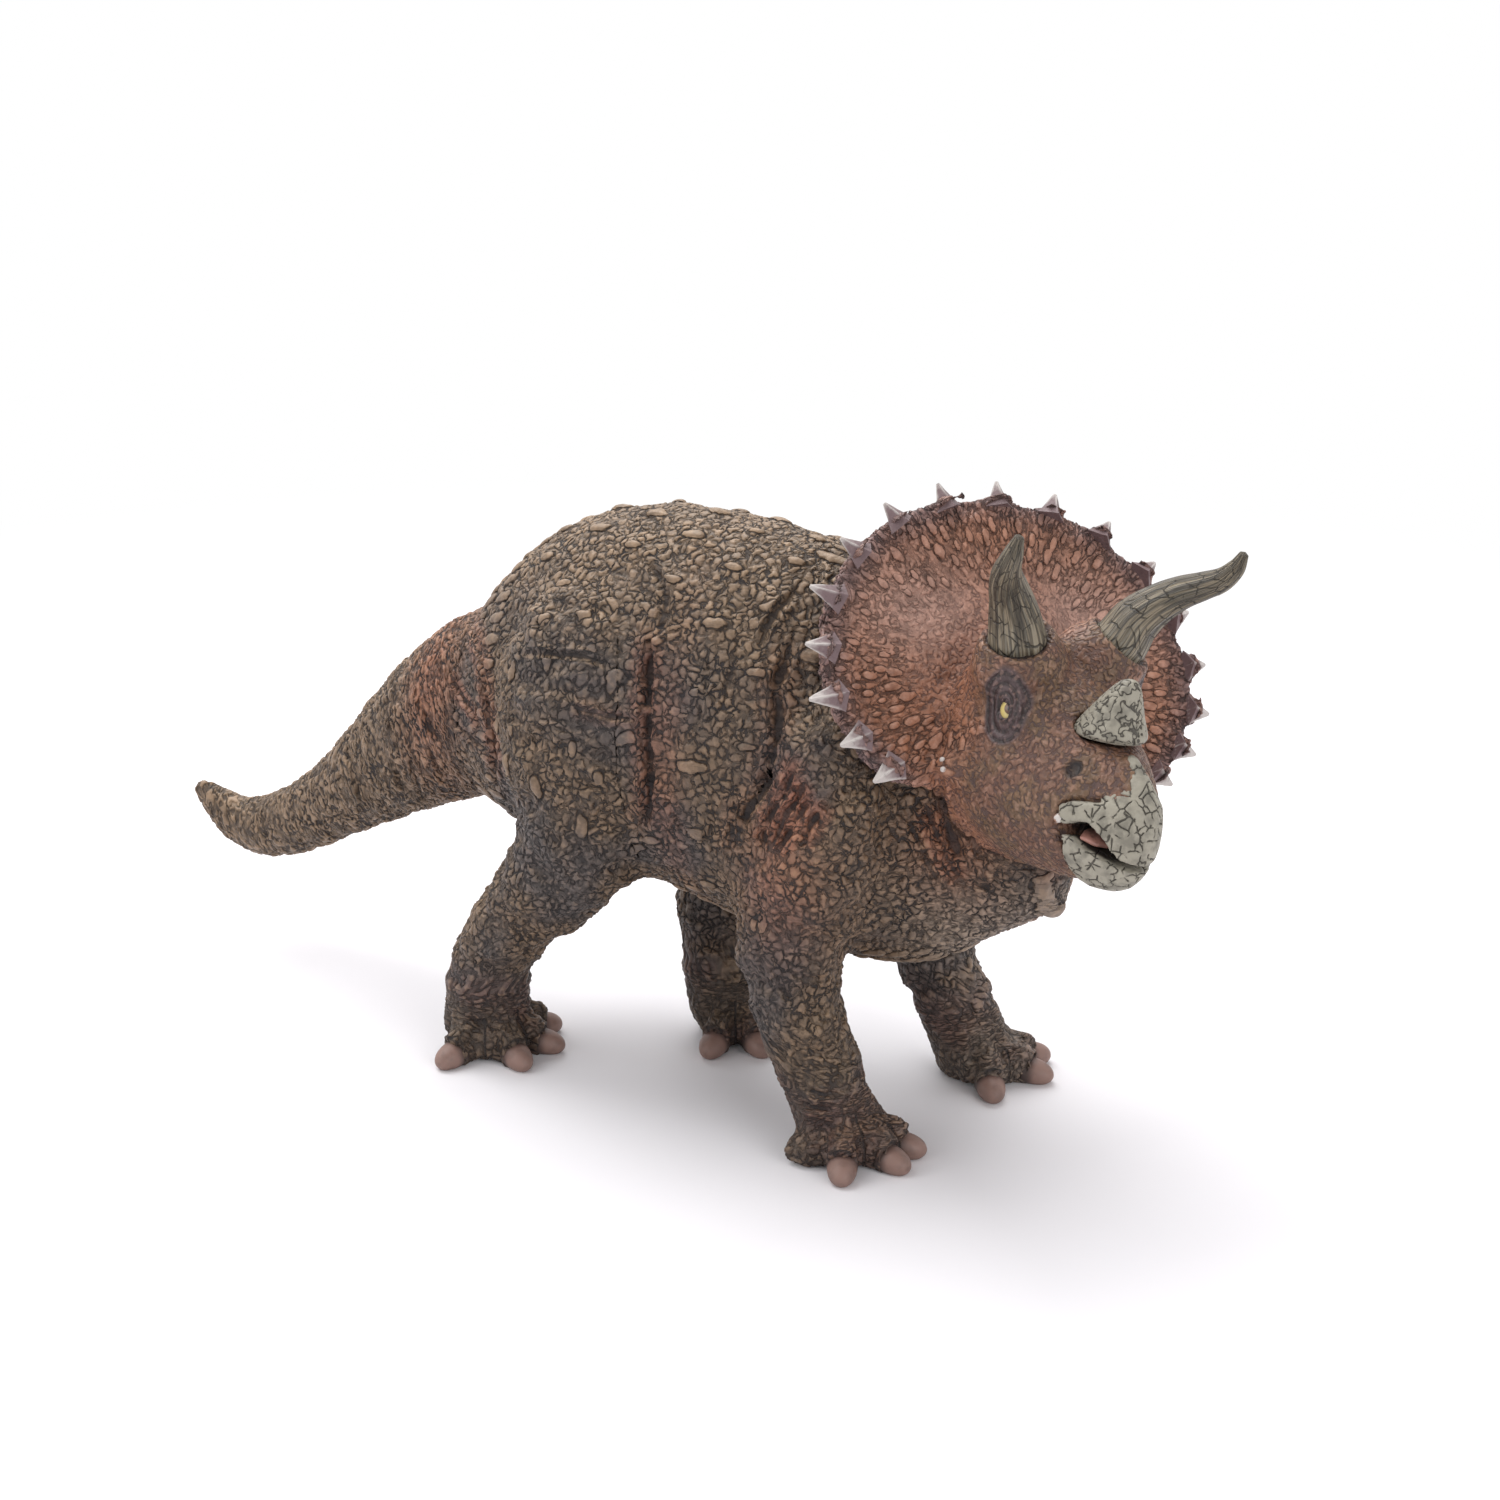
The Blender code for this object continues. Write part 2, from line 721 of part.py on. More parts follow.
def leg_peg(leg, side, grow=0.0):
    """The square peg on the inner side of a thigh, pointing at the body's middle."""
    hip_x, hip_out, hip_height = hip_place(leg)
    root = hip_out
    tip = TRUNK_WIDTH / 2 - CORE_INSET - PEG_LENGTH - grow
    size = (PEG_SIDE + 2 * grow, root - tip, PEG_SIDE + 2 * grow)
    centre = Vector((hip_x, SIDES[side] * (root + tip) / 2, hip_height))
    return box_mesh("peg", centre, size)


def make_leg(kind, side, core_room, floor):
    """One leg with its foot and its peg, fitted against the trunk's core."""
    leg = LEGS[kind]
    name = f"{kind}_leg_{side}"
    obj = part(name, leg_mesh(name, leg, side), skin)
    smooth_form(obj)
    details = foot_details(f"{name}_foot", leg, side)
    boolean(obj, "UNION", details.objects, "MANIFOLD")
    boolean(obj, "DIFFERENCE", [core_room], "MANIFOLD")
    boolean(obj, "UNION", [cutter(f"{name}_peg", leg_peg(leg, side))], "MANIFOLD")
    boolean(obj, "DIFFERENCE", [floor], "MANIFOLD")
    return obj


def tail_stations():
    """The tail's ovals from inside the rump to the curled tip."""
    root_height = TRUNK_AXIS_HEIGHT + TRUNK_SHARES[0][1] * TRUNK_DEPTH
    stations = []
    for along, drop, depth, width, sway in TAIL_SHARES:
        centre = Vector(
            (
                TRUNK_REAR_X - along * TAIL_LENGTH,
                sway * TAIL_SWAY,
                root_height - drop * TAIL_DROP,
            )
        )
        stations.append((centre, width * TAIL_ROOT_WIDTH / 2, depth * TAIL_ROOT_DEPTH / 2))
    return stations


def tail_mesh():
    """The tail's loft, with a fold in its hide at every step."""
    coarse = tail_stations()
    shares = [row[0] for row in TAIL_SHARES]
    start, end = TAIL_FOLD_ZONE_SHARES
    rows = [place for place, share in enumerate(shares) if share < start or share > end]
    half = TAIL_FOLD_WIDTH / TAIL_LENGTH / 2
    folds = {}
    for i in range(int((end - start) * TAIL_LENGTH / TAIL_FOLD_STEP) + 1):
        middle = start + i * TAIL_FOLD_STEP / TAIL_LENGTH
        depth = TAIL_FOLD_DEPTH_SHARES[i % len(TAIL_FOLD_DEPTH_SHARES)]
        for share, press in ((middle - half, 0.0), (middle, depth), (middle + half, 0.0)):
            low = max(place for place, known in enumerate(shares) if known <= share)
            place = low + (share - shares[low]) / (shares[low + 1] - shares[low])
            rows.append(place)
            folds[place] = press * TAIL_FOLD_DEPTH
    stations = []
    for place in sorted(rows):
        centre, half_side, half_rise = blended(coarse, place)
        press = folds.get(place, 0.0)
        stations.append((centre, half_side - press, half_rise - press))
    return limb_mesh("tail", stations, TAIL_AROUND)


def end_peg(x, towards, height, grow=0.0):
    """A square peg along X, from inside the neighbour to inside the trunk."""
    size = (2 * PEG_LENGTH + 2 * grow, PEG_SIDE + 2 * grow, PEG_SIDE + 2 * grow)
    return box_mesh("peg", Vector((x, towards, height)), size)


def tail_peg(grow=0.0):
    """The peg between the tail and the trunk."""
    height = TRUNK_AXIS_HEIGHT + TRUNK_SHARES[0][1] * TRUNK_DEPTH
    return end_peg(TRUNK_REAR_X, 0.0, height, grow)


def head_peg(grow=0.0):
    """The peg between the head and the end of the neck, in the head's frame."""
    return end_peg(HEAD_PEG_X, 0.0, HEAD_PEG_HEIGHT, grow)


def make_tail(trunk_room, thigh_rooms):
    """The tail, cupped over the rump and cut back behind both thighs."""
    obj = part("tail", tail_mesh(), skin)
    boolean(obj, "DIFFERENCE", [trunk_room, *thigh_rooms], "MANIFOLD")
    boolean(obj, "UNION", [cutter("tail_peg", tail_peg())], "MANIFOLD")
    return obj


def make_trunk(leg_rooms, core):
    """The trunk, with a bay for each leg round its core and a socket for every peg."""
    obj = part("trunk", trunk_mesh("trunk", ovals=OVAL_HEIGHT), skin)
    sockets = [
        cutter("tail_socket", tail_peg(FIT_GAP)),
        cutter("head_socket", head_peg(FIT_GAP), parent=head_frame),
    ]
    for kind, leg in LEGS.items():
        for side in SIDES:
            socket = leg_peg(leg, side, FIT_GAP)
            sockets.append(cutter(f"{kind}_{side}_socket", socket))
    boolean(obj, "DIFFERENCE", leg_rooms, "MANIFOLD")
    boolean(obj, "UNION", [core], "MANIFOLD")
    boolean(obj, "DIFFERENCE", sockets, "MANIFOLD")
    return obj


def skull_stations():
    """The skull's ovals from the nape to the end of the snout, in the head's frame."""
    return [
        (
            Vector((along * SKULL_LENGTH, 0.0, rise * SKULL_DEPTH)),
            half_width * SKULL_WIDTH,
            half_depth * SKULL_DEPTH,
        )
        for along, rise, half_depth, half_width in SKULL_SHARES
    ]


def skull_mesh(name, grow=0.0):
    """The skull's loft."""
    return limb_mesh(name, skull_stations(), SKULL_AROUND, grow, level_rings=True)


def frill_radius(turn):
    """Distance from the frill's centre to its rim at an angle from straight up."""
    across = abs(math.sin(turn)) / FRILL_HALF_WIDTH
    up = abs(math.cos(turn)) / (FRILL_RISE if math.cos(turn) > 0 else FRILL_DROP)
    return (across**FRILL_FULLNESS + up**FRILL_FULLNESS) ** (-1 / FRILL_FULLNESS)


def rim_turns():
    """Angles of the spikes round the frill, which stand closer towards both ends of its rim."""
    spread = math.radians(FRILL_SPREAD)
    steps = SPIKE_COUNT * SMALL_AROUND
    turns = [spread * (2 * i / steps - 1) for i in range(steps + 1)]
    points = [frill_point(turn, 1.0) for turn in turns]
    run = [0.0]
    for first, second in zip(points, points[1:]):
        run.append(run[-1] + (second - first).length)
    chosen = []
    for i in range(SPIKE_COUNT):
        even = 2 * (i + SPIKE_END_SHARE) / (SPIKE_COUNT - 1 + 2 * SPIKE_END_SHARE) - 1
        crowded = even + SPIKE_CROWD_SHARE * math.sin(math.pi * even) / math.pi
        wanted = run[-1] * (1 + crowded) / 2
        after = next(j for j, length in enumerate(run) if length >= wanted)
        part_way = (wanted - run[after - 1]) / (run[after] - run[after - 1])
        chosen.append(turns[after - 1] + part_way * (turns[after] - turns[after - 1]))
    return chosen


def frill_centre():
    """The middle of the frill in the head's frame."""
    return Vector((FRILL_CENTRE_X, FRILL_CENTRE_OUT, FRILL_CENTRE_HEIGHT))


def frill_point(turn, share):
    """A point of the frill's front, share of the way from its root to its rim.

    The root lies inside the skull, and runs down and forward to the cheek at both ends.
    """
    lean = math.radians(FRILL_LEAN)
    up = Vector((-math.sin(lean), 0.0, math.cos(lean)))
    forward = Vector((math.cos(lean), 0.0, math.sin(lean)))
    centre = frill_centre()
    out = Vector((0.0, math.sin(turn), 0.0)) + up * math.cos(turn)
    rim = centre + out * frill_radius(turn)
    below = max(-math.cos(turn), 0.0)
    root = centre + Vector(
        (
            below * FRILL_ROOT_FORWARD,
            math.sin(turn) * FRILL_ROOT_OUT,
            max(math.cos(turn), 0.0) * FRILL_ROOT_RISE - below * FRILL_ROOT_DROP,
        )
    )
    dish = math.sin(math.pi * share) * abs(math.sin(turn)) * FRILL_DISH
    return root.lerp(rim, share) - forward * dish


def frill_mesh():
    """The open front surface of the frill, which Solidify gives its thickness."""
    bm = bmesh.new()
    spread = math.radians(FRILL_SPREAD)
    rows = []
    for i in range(FRILL_ARC_STEPS + 1):
        turn = spread * (2 * i / FRILL_ARC_STEPS - 1)
        row = []
        for j in range(FRILL_RING_STEPS + 1):
            row.append(bm.verts.new(frill_point(turn, j / FRILL_RING_STEPS)))
        rows.append(row)
    for first, second in zip(rows, rows[1:]):
        for j in range(FRILL_RING_STEPS):
            bm.faces.new((first[j], first[j + 1], second[j + 1], second[j]))
    mesh = mesh_of("frill", bm)
    if sum(face.normal.x for face in mesh.polygons) < 0:
        mesh.flip_normals()
    return mesh


def frill_form(group):
    """The frill with its thickness behind the front surface."""
    frill = cutter("frill", frill_mesh(), group, head_frame)
    wall = frill.modifiers.new("Wall", "SOLIDIFY")
    wall.thickness = FRILL_THICKNESS
    wall.offset = -1.0
    smooth_form(frill)


def cone_mesh(name, length, radius, tip_radius):
    """A capped cone along Z about its middle."""
    bm = bmesh.new()
    bmesh.ops.create_cone(
        bm,
        cap_ends=True,
        segments=SPIKE_SIDES,
        radius1=radius,
        radius2=tip_radius,
        depth=length,
    )
    return mesh_of(name, bm)


def point_along(obj, place, direction):
    """Moves an object and turns its Z along a direction."""
    obj.location = place
    obj.rotation_euler = direction.to_track_quat("Z", "X").to_euler()


def spikes(group):
    """The pointed scutes round the rim of the frill."""
    mesh = cone_mesh("spike", SPIKE_LENGTH, SPIKE_WIDTH / 2, SPIKE_TIP_WIDTH / 2)
    centre = frill_centre()
    for i, turn in enumerate(rim_turns()):
        rim = frill_point(turn, 1.0)
        out = (rim - centre).normalized()
        spike = cutter(f"spike_{i}", mesh, group, head_frame)
        point_along(spike, rim + out * (SPIKE_LENGTH / 2 - SPIKE_SINK), out)


def horn_points(side):
    """The centre line of a brow horn in the head's frame, with its radii."""
    base = Vector((HORN_BASE_X, SIDES[side] * HORN_BASE_OUT, HORN_BASE_HEIGHT))
    points = []
    for sweep, splay, rise, radius in HORN_SHARES:
        step = Vector(
            (sweep * HORN_SWEEP, SIDES[side] * splay * HORN_SPLAY, rise * HORN_RISE)
        )
        points.append((base + step, radius * HORN_RADIUS))
    return points


def horn_axis(side):
    """The direction in which a horn leaves the brow."""
    points = horn_points(side)
    return (points[1][0] - points[0][0]).normalized()


def round_bar(name, start, end, radius, group):
    """A capped cylinder between two points of the head's frame."""
    bm = bmesh.new()
    span = end - start
    bmesh.ops.create_cone(
        bm,
        cap_ends=True,
        segments=BAR_SIDES,
        radius1=radius,
        radius2=radius,
        depth=span.length,
    )
    bar = cutter(name, mesh_of(name, bm), group, head_frame)
    point_along(bar, (start + end) / 2, span)
    return bar


def brow_boss(side, group):
    """The swelling of the brow in which a horn stands."""
    base, axis = horn_points(side)[0][0], horn_axis(side)
    size = (HORN_BOSS_WIDTH, HORN_BOSS_WIDTH, HORN_BOSS_DEPTH)
    mesh = ball_mesh("brow_boss", size, SKULL_AROUND, SMALL_AROUND)
    boss = cutter(f"brow_boss_{side}", mesh, group, head_frame)
    point_along(boss, base - axis * (HORN_BOSS_DEPTH / 2 - HORN_BOSS_PROUD), axis)


def horn_seat(side, group):
    """The room that a brow horn and its peg take out of the head."""
    base, axis = horn_points(side)[0][0], horn_axis(side)
    round_bar(
        f"horn_seat_{side}",
        base - axis * FIT_GAP,
        base + axis * CUT_OVERRUN,
        HORN_RADIUS + FIT_GAP,
        group,
    )
    round_bar(
        f"horn_socket_{side}",
        base - axis * (HORN_PEG_LENGTH + FIT_GAP),
        base + axis * FIT_GAP,
        HORN_PEG_RADIUS + FIT_GAP,
        group,
    )


def make_brow_horn(side):
    """A curved, tapering horn on a round peg, drawn as a bevelled curve."""
    axis = horn_axis(side)
    points = horn_points(side)
    base = points[0][0]
    line = [
        (base - axis * HORN_PEG_LENGTH, HORN_PEG_RADIUS),
        (base - axis * FIT_GAP, HORN_PEG_RADIUS),
        (base, HORN_RADIUS),
        *points[1:],
    ]
    curve = bpy.data.curves.new(f"brow_horn_{side}", "CURVE")
    curve.dimensions = "3D"
    curve.bevel_depth = HORN_RADIUS
    curve.bevel_resolution = 4
    curve.use_fill_caps = True
    spline = curve.splines.new("POLY")
    spline.points.add(len(line) - 1)
    for point, (centre, radius) in zip(spline.points, line):
        point.co = (*centre, 1.0)
        point.radius = radius / HORN_RADIUS
    return part(f"brow_horn_{side}", curve, horn_paint, head_frame)


def nose_horn_mesh(name, grow=0.0):
    """The short, broad horn on the snout, leaning forward."""
    base = Vector((NOSE_HORN_X, 0.0, NOSE_HORN_HEIGHT - grow))
    tip = base + Vector((NOSE_HORN_LEAN, 0.0, NOSE_HORN_RISE + 2 * grow))
    rings = []
    for rise, width in NOSE_HORN_SHARES:
        rings.append(
            oval(
                base.lerp(tip, rise),
                Vector((1.0, 0.0, 0.0)),
                Vector((0.0, 1.0, 0.0)),
                width * NOSE_HORN_LENGTH / 2 + grow,
                width * NOSE_HORN_WIDTH / 2 + grow,
                SMALL_AROUND,
                0.0,
            )
        )
    return tube_mesh(name, rings, (base, tip))


def beak_points(shares):
    """Points of a line in the head's side view."""
    return [
        (BEAK_REAR_X + x * BEAK_LENGTH, BEAK_BOTTOM + z * BEAK_DEPTH) for x, z in shares
    ]


def beak_seat_outline():
    """The whole front of the snout that the two halves of the beak and the mouth take."""
    return beak_points(
        (
            *UPPER_REAR_SHARES,
            MOUTH_CORNER_SHARE,
            *LOWER_REAR_SHARES,
            BEAK_FOOT_SHARE,
            BEAK_TOP_SHARE,
        )
    )


def upper_beak_outline():
    """The upper half, clear of its seat on every side."""
    outline = beak_points((*UPPER_REAR_SHARES, *UPPER_LIP_SHARES, BEAK_TOP_SHARE))
    return inset(outline, FIT_GAP)


def lower_beak_outline():
    """The lower half, clear of its seat on every side."""
    outline = beak_points(
        (*reversed(LOWER_LIP_SHARES), *LOWER_REAR_SHARES, BEAK_FOOT_SHARE)
    )
    return inset(outline, FIT_GAP)


def side_prism(name, outline, group=None):
    """A cutter with an outline of the head's side view."""
    return cutter(name, prism_mesh(name, outline, SKULL_WIDTH), group, head_frame)


def make_beak(name, outline, horn_room):
    """One half of the beak: the end of the snout, standing a little proud of the skin."""
    obj = part(name, skull_mesh(name, BEAK_PROUD), beak_paint, head_frame)
    smooth_form(obj)
    boolean(obj, "INTERSECT", [side_prism(f"{name}_outline", outline)])
    boolean(obj, "DIFFERENCE", [horn_room])
    return obj


def lip_height(shares, x):
    """Height of a lip line at a place along the snout."""
    points = beak_points(shares)
    for (x0, z0), (x1, z1) in zip(points, points[1:]):
        if x0 <= x <= x1:
            return z0 + (z1 - z0) * (x - x0) / (x1 - x0)
    return points[0][1] if x < points[0][0] else points[-1][1]


def make_tongue():
    """The tongue, which fills the middle of the slightly open mouth."""
    top = lip_height(UPPER_LIP_SHARES, TONGUE_X) - FIT_GAP
    bottom = lip_height(LOWER_LIP_SHARES, TONGUE_X) + FIT_GAP
    reach = TONGUE_LENGTH / 2
    drop = lip_height(LOWER_LIP_SHARES, TONGUE_X - reach) - lip_height(
        LOWER_LIP_SHARES, TONGUE_X + reach
    )
    tilt = math.atan2(drop, TONGUE_LENGTH)
    height = (top - bottom) * math.cos(tilt) - 2 * FIT_GAP
    mesh = ball_mesh("tongue", (TONGUE_LENGTH, TONGUE_WIDTH, height))
    obj = part("tongue", mesh, tongue_paint, head_frame)
    obj.location = (TONGUE_X, 0.0, (top + bottom) / 2)
    obj.rotation_euler.y = tilt
    return obj


def both_sides(name, mesh, place, group):
    """A ball-like form on each side of the head."""
    for side, sign in SIDES.items():
        obj = cutter(f"{name}_{side}", mesh, group, head_frame)
        obj.location = (place[0], sign * place[1], place[2])


def make_head(neck_room, leg_rooms):
    """Skull, frill and spikes in one moulding, with seats for horns and beak."""
    obj = part("head", skull_mesh("head"), head_paint, head_frame)
    smooth_form(obj)
    added = helper_group("head_additions")
    frill_form(added)
    spikes(added)
    lid = ball_mesh("lid", (LID_LENGTH, LID_DEPTH, LID_HEIGHT))
    both_sides("lid", lid, (EYE_X, EYE_OUT, EYE_HEIGHT), added)
    cheek = ball_mesh("cheek", (CHEEK_LENGTH, CHEEK_WIDTH, CHEEK_WIDTH))
    both_sides("cheek", cheek, (CHEEK_X, CHEEK_OUT, CHEEK_HEIGHT), added)
    removed = helper_group("head_cuts")
    socket = ball_mesh("eye_socket", (SOCKET_SIZE, SOCKET_SIZE, SOCKET_SIZE))
    place = (EYE_X, EYE_OUT + LID_DEPTH / 2 + SOCKET_PROUD, EYE_HEIGHT)
    both_sides("eye_socket", socket, place, removed)
    nostril = ball_mesh("nostril", (NOSTRIL_LENGTH, NOSTRIL_DEPTH, NOSTRIL_LENGTH))
    both_sides("nostril", nostril, (NOSTRIL_X, NOSTRIL_OUT, NOSTRIL_HEIGHT), removed)
    for side in SIDES:
        brow_boss(side, added)
        horn_seat(side, removed)
    side_prism("beak_seat", beak_seat_outline(), removed)
    horn_room = cutter(
        "nose_horn_room", nose_horn_mesh("nose_horn_room", FIT_GAP), removed, head_frame
    )
    smooth_form(horn_room)
    boolean(obj, "UNION", added.objects, "MANIFOLD")
    boolean(obj, "DIFFERENCE", [neck_room, *leg_rooms, *removed.objects], "MANIFOLD")
    last = helper_group("eyes")
    eye = ball_mesh("eye", (EYE_SIZE, EYE_SIZE, EYE_SIZE))
    both_sides("eye", eye, (EYE_X, EYE_OUT, EYE_HEIGHT), last)
    peg = cutter("head_peg", head_peg(), parent=head_frame)
    boolean(obj, "UNION", [*last.objects, peg], "MANIFOLD")
    make_beak("upper_beak", upper_beak_outline(), horn_room)
    make_beak("lower_beak", lower_beak_outline(), horn_room)
    horn = part("nose_horn", nose_horn_mesh("nose_horn"), beak_paint, head_frame)
    smooth_form(horn)
    for side in SIDES:
        make_brow_horn(side)
    make_tongue()


def stand_on_origin():
    """Moves the figure so that the middle of its box's bottom is at the origin."""
    bpy.context.view_layer.update()
    graph = bpy.context.evaluated_depsgraph_get()
    points = []
    for obj in figure.objects:
        if obj.type == "EMPTY":
            continue
        shape = obj.evaluated_get(graph)
        mesh = shape.to_mesh()
        points += [shape.matrix_world @ vertex.co for vertex in mesh.vertices]
        shape.to_mesh_clear()
    low = [min(point[axis] for point in points) for axis in range(3)]
    high = [max(point[axis] for point in points) for axis in range(3)]
    origin.location = (-(low[0] + high[0]) / 2, -(low[1] + high[1]) / 2, -low[2])


figure, cutters = empty_scene()
skin = paint("skin", SKIN_BROWN, SKIN_ROUGHNESS)
head_paint = paint("head_skin", HEAD_BROWN, SKIN_ROUGHNESS)
horn_paint = paint("horn", HORN_OLIVE, HARD_ROUGHNESS)
beak_paint = paint("beak", BEAK_GREY, HARD_ROUGHNESS)
tongue_paint = paint("tongue", TONGUE_PINK, HARD_ROUGHNESS)

origin = holder("figure_origin")
head_frame = holder("head_frame", origin)
head_x = TRUNK_REAR_X + HEAD_SEAT_SHARE * TRUNK_LENGTH
head_frame.location = (head_x, HEAD_OUT, HEAD_HEIGHT)
head_frame.rotation_euler = [math.radians(v) for v in (HEAD_TILT, HEAD_NOD, HEAD_TURN)]

core = cutter("core", core_mesh("core"))
core_room = cutter("core_room", core_mesh("core_room", FIT_GAP))
trunk_room = cutter("trunk_room", trunk_mesh("trunk_room", FIT_GAP))
floor = cutter(
    "floor",
    box_mesh(
        "floor",
        Vector((0.0, 0.0, -FLOOR_CUT_SIZE / 2)),
        (FLOOR_CUT_SIZE, FLOOR_CUT_SIZE, FLOOR_CUT_SIZE),
    ),
)
rooms = {}
for kind, leg in LEGS.items():
    for side in SIDES:
        rooms[kind, side] = leg_form(f"{kind}_{side}_room", leg, side, FIT_GAP)
        make_leg(kind, side, core_room, floor)
make_trunk(rooms.values(), core)
make_tail(trunk_room, [rooms["rear", side] for side in SIDES])
make_head(trunk_room, [rooms["front", side] for side in SIDES])
stand_on_origin()
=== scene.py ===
"""Dresses the standing horned dinosaur figure: scaly skin, nails, horns, beak, eyes, stage.

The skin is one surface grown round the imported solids, sculpted with folds and scales, and then
parted again into one closed piece for each solid. All other pieces sit on that surface.
"""

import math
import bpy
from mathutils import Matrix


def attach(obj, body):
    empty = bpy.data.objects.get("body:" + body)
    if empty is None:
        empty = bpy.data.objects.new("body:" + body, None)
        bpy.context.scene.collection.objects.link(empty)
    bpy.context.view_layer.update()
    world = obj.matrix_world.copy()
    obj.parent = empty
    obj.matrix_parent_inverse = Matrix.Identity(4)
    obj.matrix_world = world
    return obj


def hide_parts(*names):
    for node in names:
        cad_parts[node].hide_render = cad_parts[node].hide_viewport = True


bl_info = {
    "name": "Horned dinosaur figure",
    "version": (1, 0, 0),
    "blender": (4, 5, 0),
    "location": "3D View > Sidebar > Dinosaur",
    "description": "Scaly skin, horns, beak, nails and eyes for the packed dinosaur figure",
    "category": "Object",
}

import bmesh
import bpy
import numpy as np
from bpy.props import FloatProperty, FloatVectorProperty, IntProperty, PointerProperty
from mathutils import Euler, Matrix, Vector

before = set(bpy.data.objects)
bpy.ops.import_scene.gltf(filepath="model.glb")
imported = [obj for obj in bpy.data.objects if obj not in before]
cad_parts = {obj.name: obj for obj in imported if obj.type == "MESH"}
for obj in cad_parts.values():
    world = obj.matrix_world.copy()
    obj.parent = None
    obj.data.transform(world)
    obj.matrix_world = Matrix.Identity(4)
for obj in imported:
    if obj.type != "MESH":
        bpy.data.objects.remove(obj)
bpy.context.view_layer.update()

BODY = "root"
MERGE_DISTANCE = 0.00001
NO_TRIANGLES = np.zeros((0, 3), int)

# Solids that the skin covers, with the finish that each piece takes
SKIN_NODES = {
    "trunk": "body_skin",
    "tail": "body_skin",
    "front_leg_right": "body_skin",
    "front_leg_left": "body_skin",
    "rear_leg_right": "body_skin",
    "rear_leg_left": "body_skin",
    "head": "head_skin",
}

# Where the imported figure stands, and the head's own frame with +X along the snout
FIGURE_SHIFT = Vector((0.01834, -0.00496, 0.0))
HEAD_PLACE = Vector((0.053368, 0.0012, 0.067))
HEAD_TURNS = (-11.0, -5.0, -32.0)
HEAD = Matrix.Translation(FIGURE_SHIFT + HEAD_PLACE) @ Euler(
    [math.radians(angle) for angle in HEAD_TURNS]
).to_matrix().to_4x4()
HEAD_TURN = np.array(HEAD.to_3x3())
HEAD_AHEAD = np.array(HEAD.to_3x3() @ Vector((1.0, 0.0, 0.0)))
HEAD_UP = np.array(HEAD.to_3x3() @ Vector((0.0, 0.0, 1.0)))
SIDES = {"right": -1, "left": 1}

# The photograph's camera
CAMERA_AZIMUTH = 30.0
CAMERA_ELEVATION = 20.0
CAMERA_DISTANCE = 0.550
CAMERA_TARGET = Vector((-0.016, 0.0376, 0.047))
CAMERA_FOCUS = 2832.5
PHOTO_SIZE = 1500

# Frill, in the head's frame
FRILL_RISE = 0.0324
FRILL_HALF_WIDTH = 0.0388
FRILL_DROP = 0.0255
FRILL_FULLNESS = 2.1
FRILL_CENTRE = Vector((0.0015, 0.0006, 0.0175))
FRILL_LEAN = math.radians(26.0)
FRILL_SPREAD = math.radians(124.0)
FRILL_UP = Vector((-math.sin(FRILL_LEAN), 0.0, math.cos(FRILL_LEAN)))
FRILL_FORWARD = Vector((math.cos(FRILL_LEAN), 0.0, math.sin(FRILL_LEAN)))
SHEET_FRONT = np.array(HEAD.to_3x3() @ FRILL_FORWARD)
SPIKE_COUNT = 17
SPIKE_END_SHARE = 0.15
SPIKE_CROWD_SHARE = 0.20

# Places on the head, in its frame
EYE_PLACE = (0.0183, 0.0120, 0.0143)
EYE_LOOK = (0.60, 0.75, 0.27)
NOSTRIL_PLACE = (0.0322, 0.0083, 0.0080)
CHEEK_PLACE = (0.0093, 0.0164, 0.0031)
MOUTH_CORNER = (0.0328, 0.0096)
HORN_BASE = (0.0151, 0.0103, 0.0259)
HORN_STEP = (0.0136, 0.0117, 0.0176)
HORN_RADIUS = 0.0057
TONGUE_BACK = 0.0020
TONGUE_WIDENING = 1.22
# Shares of the horn's step and radius along its middle line
HORN_SHARES = (
    (-0.10, -0.12, -0.14, 0.83),
    (0.00, 0.00, 0.00, 0.83),
    (0.06, 0.15, 0.21, 0.73),
    (0.19, 0.36, 0.39, 0.60),
    (0.36, 0.58, 0.53, 0.51),
    (0.56, 0.77, 0.63, 0.43),
    (0.76, 0.91, 0.73, 0.35),
    (0.91, 0.98, 0.86, 0.27),
    (1.00, 1.00, 1.00, 0.14),
)

# Feet: middle of the sole, heading, and the turn of each nail
FEET = {
    "front_leg_right": (0.0360, -0.0195, -35.0, (54.0, 23.0, -29.0)),
    "front_leg_left": (0.0427, 0.0200, 3.0, (-54.0, 6.0, 44.0)),
    "rear_leg_right": (-0.04146, -0.0158, -22.0, (80.0, 38.0, -6.0, -76.0)),
    "rear_leg_left": (-0.00496, 0.0125, -5.0, (-76.0, -30.0, 16.0, 68.0)),
}
# Outline of a foot near the floor, and how much further its toes stand out
FOOT_REACH = 0.020
SOLE_REACH = 0.0090
TOE_REACH = 0.0030
TOE_HALF_ANGLE = 14.5
FOOT_SECTORS = 60
# Place of a nail: reach from the middle of the foot, and height
NAIL_REACH = 0.0115
NAIL_RISE = 0.0021

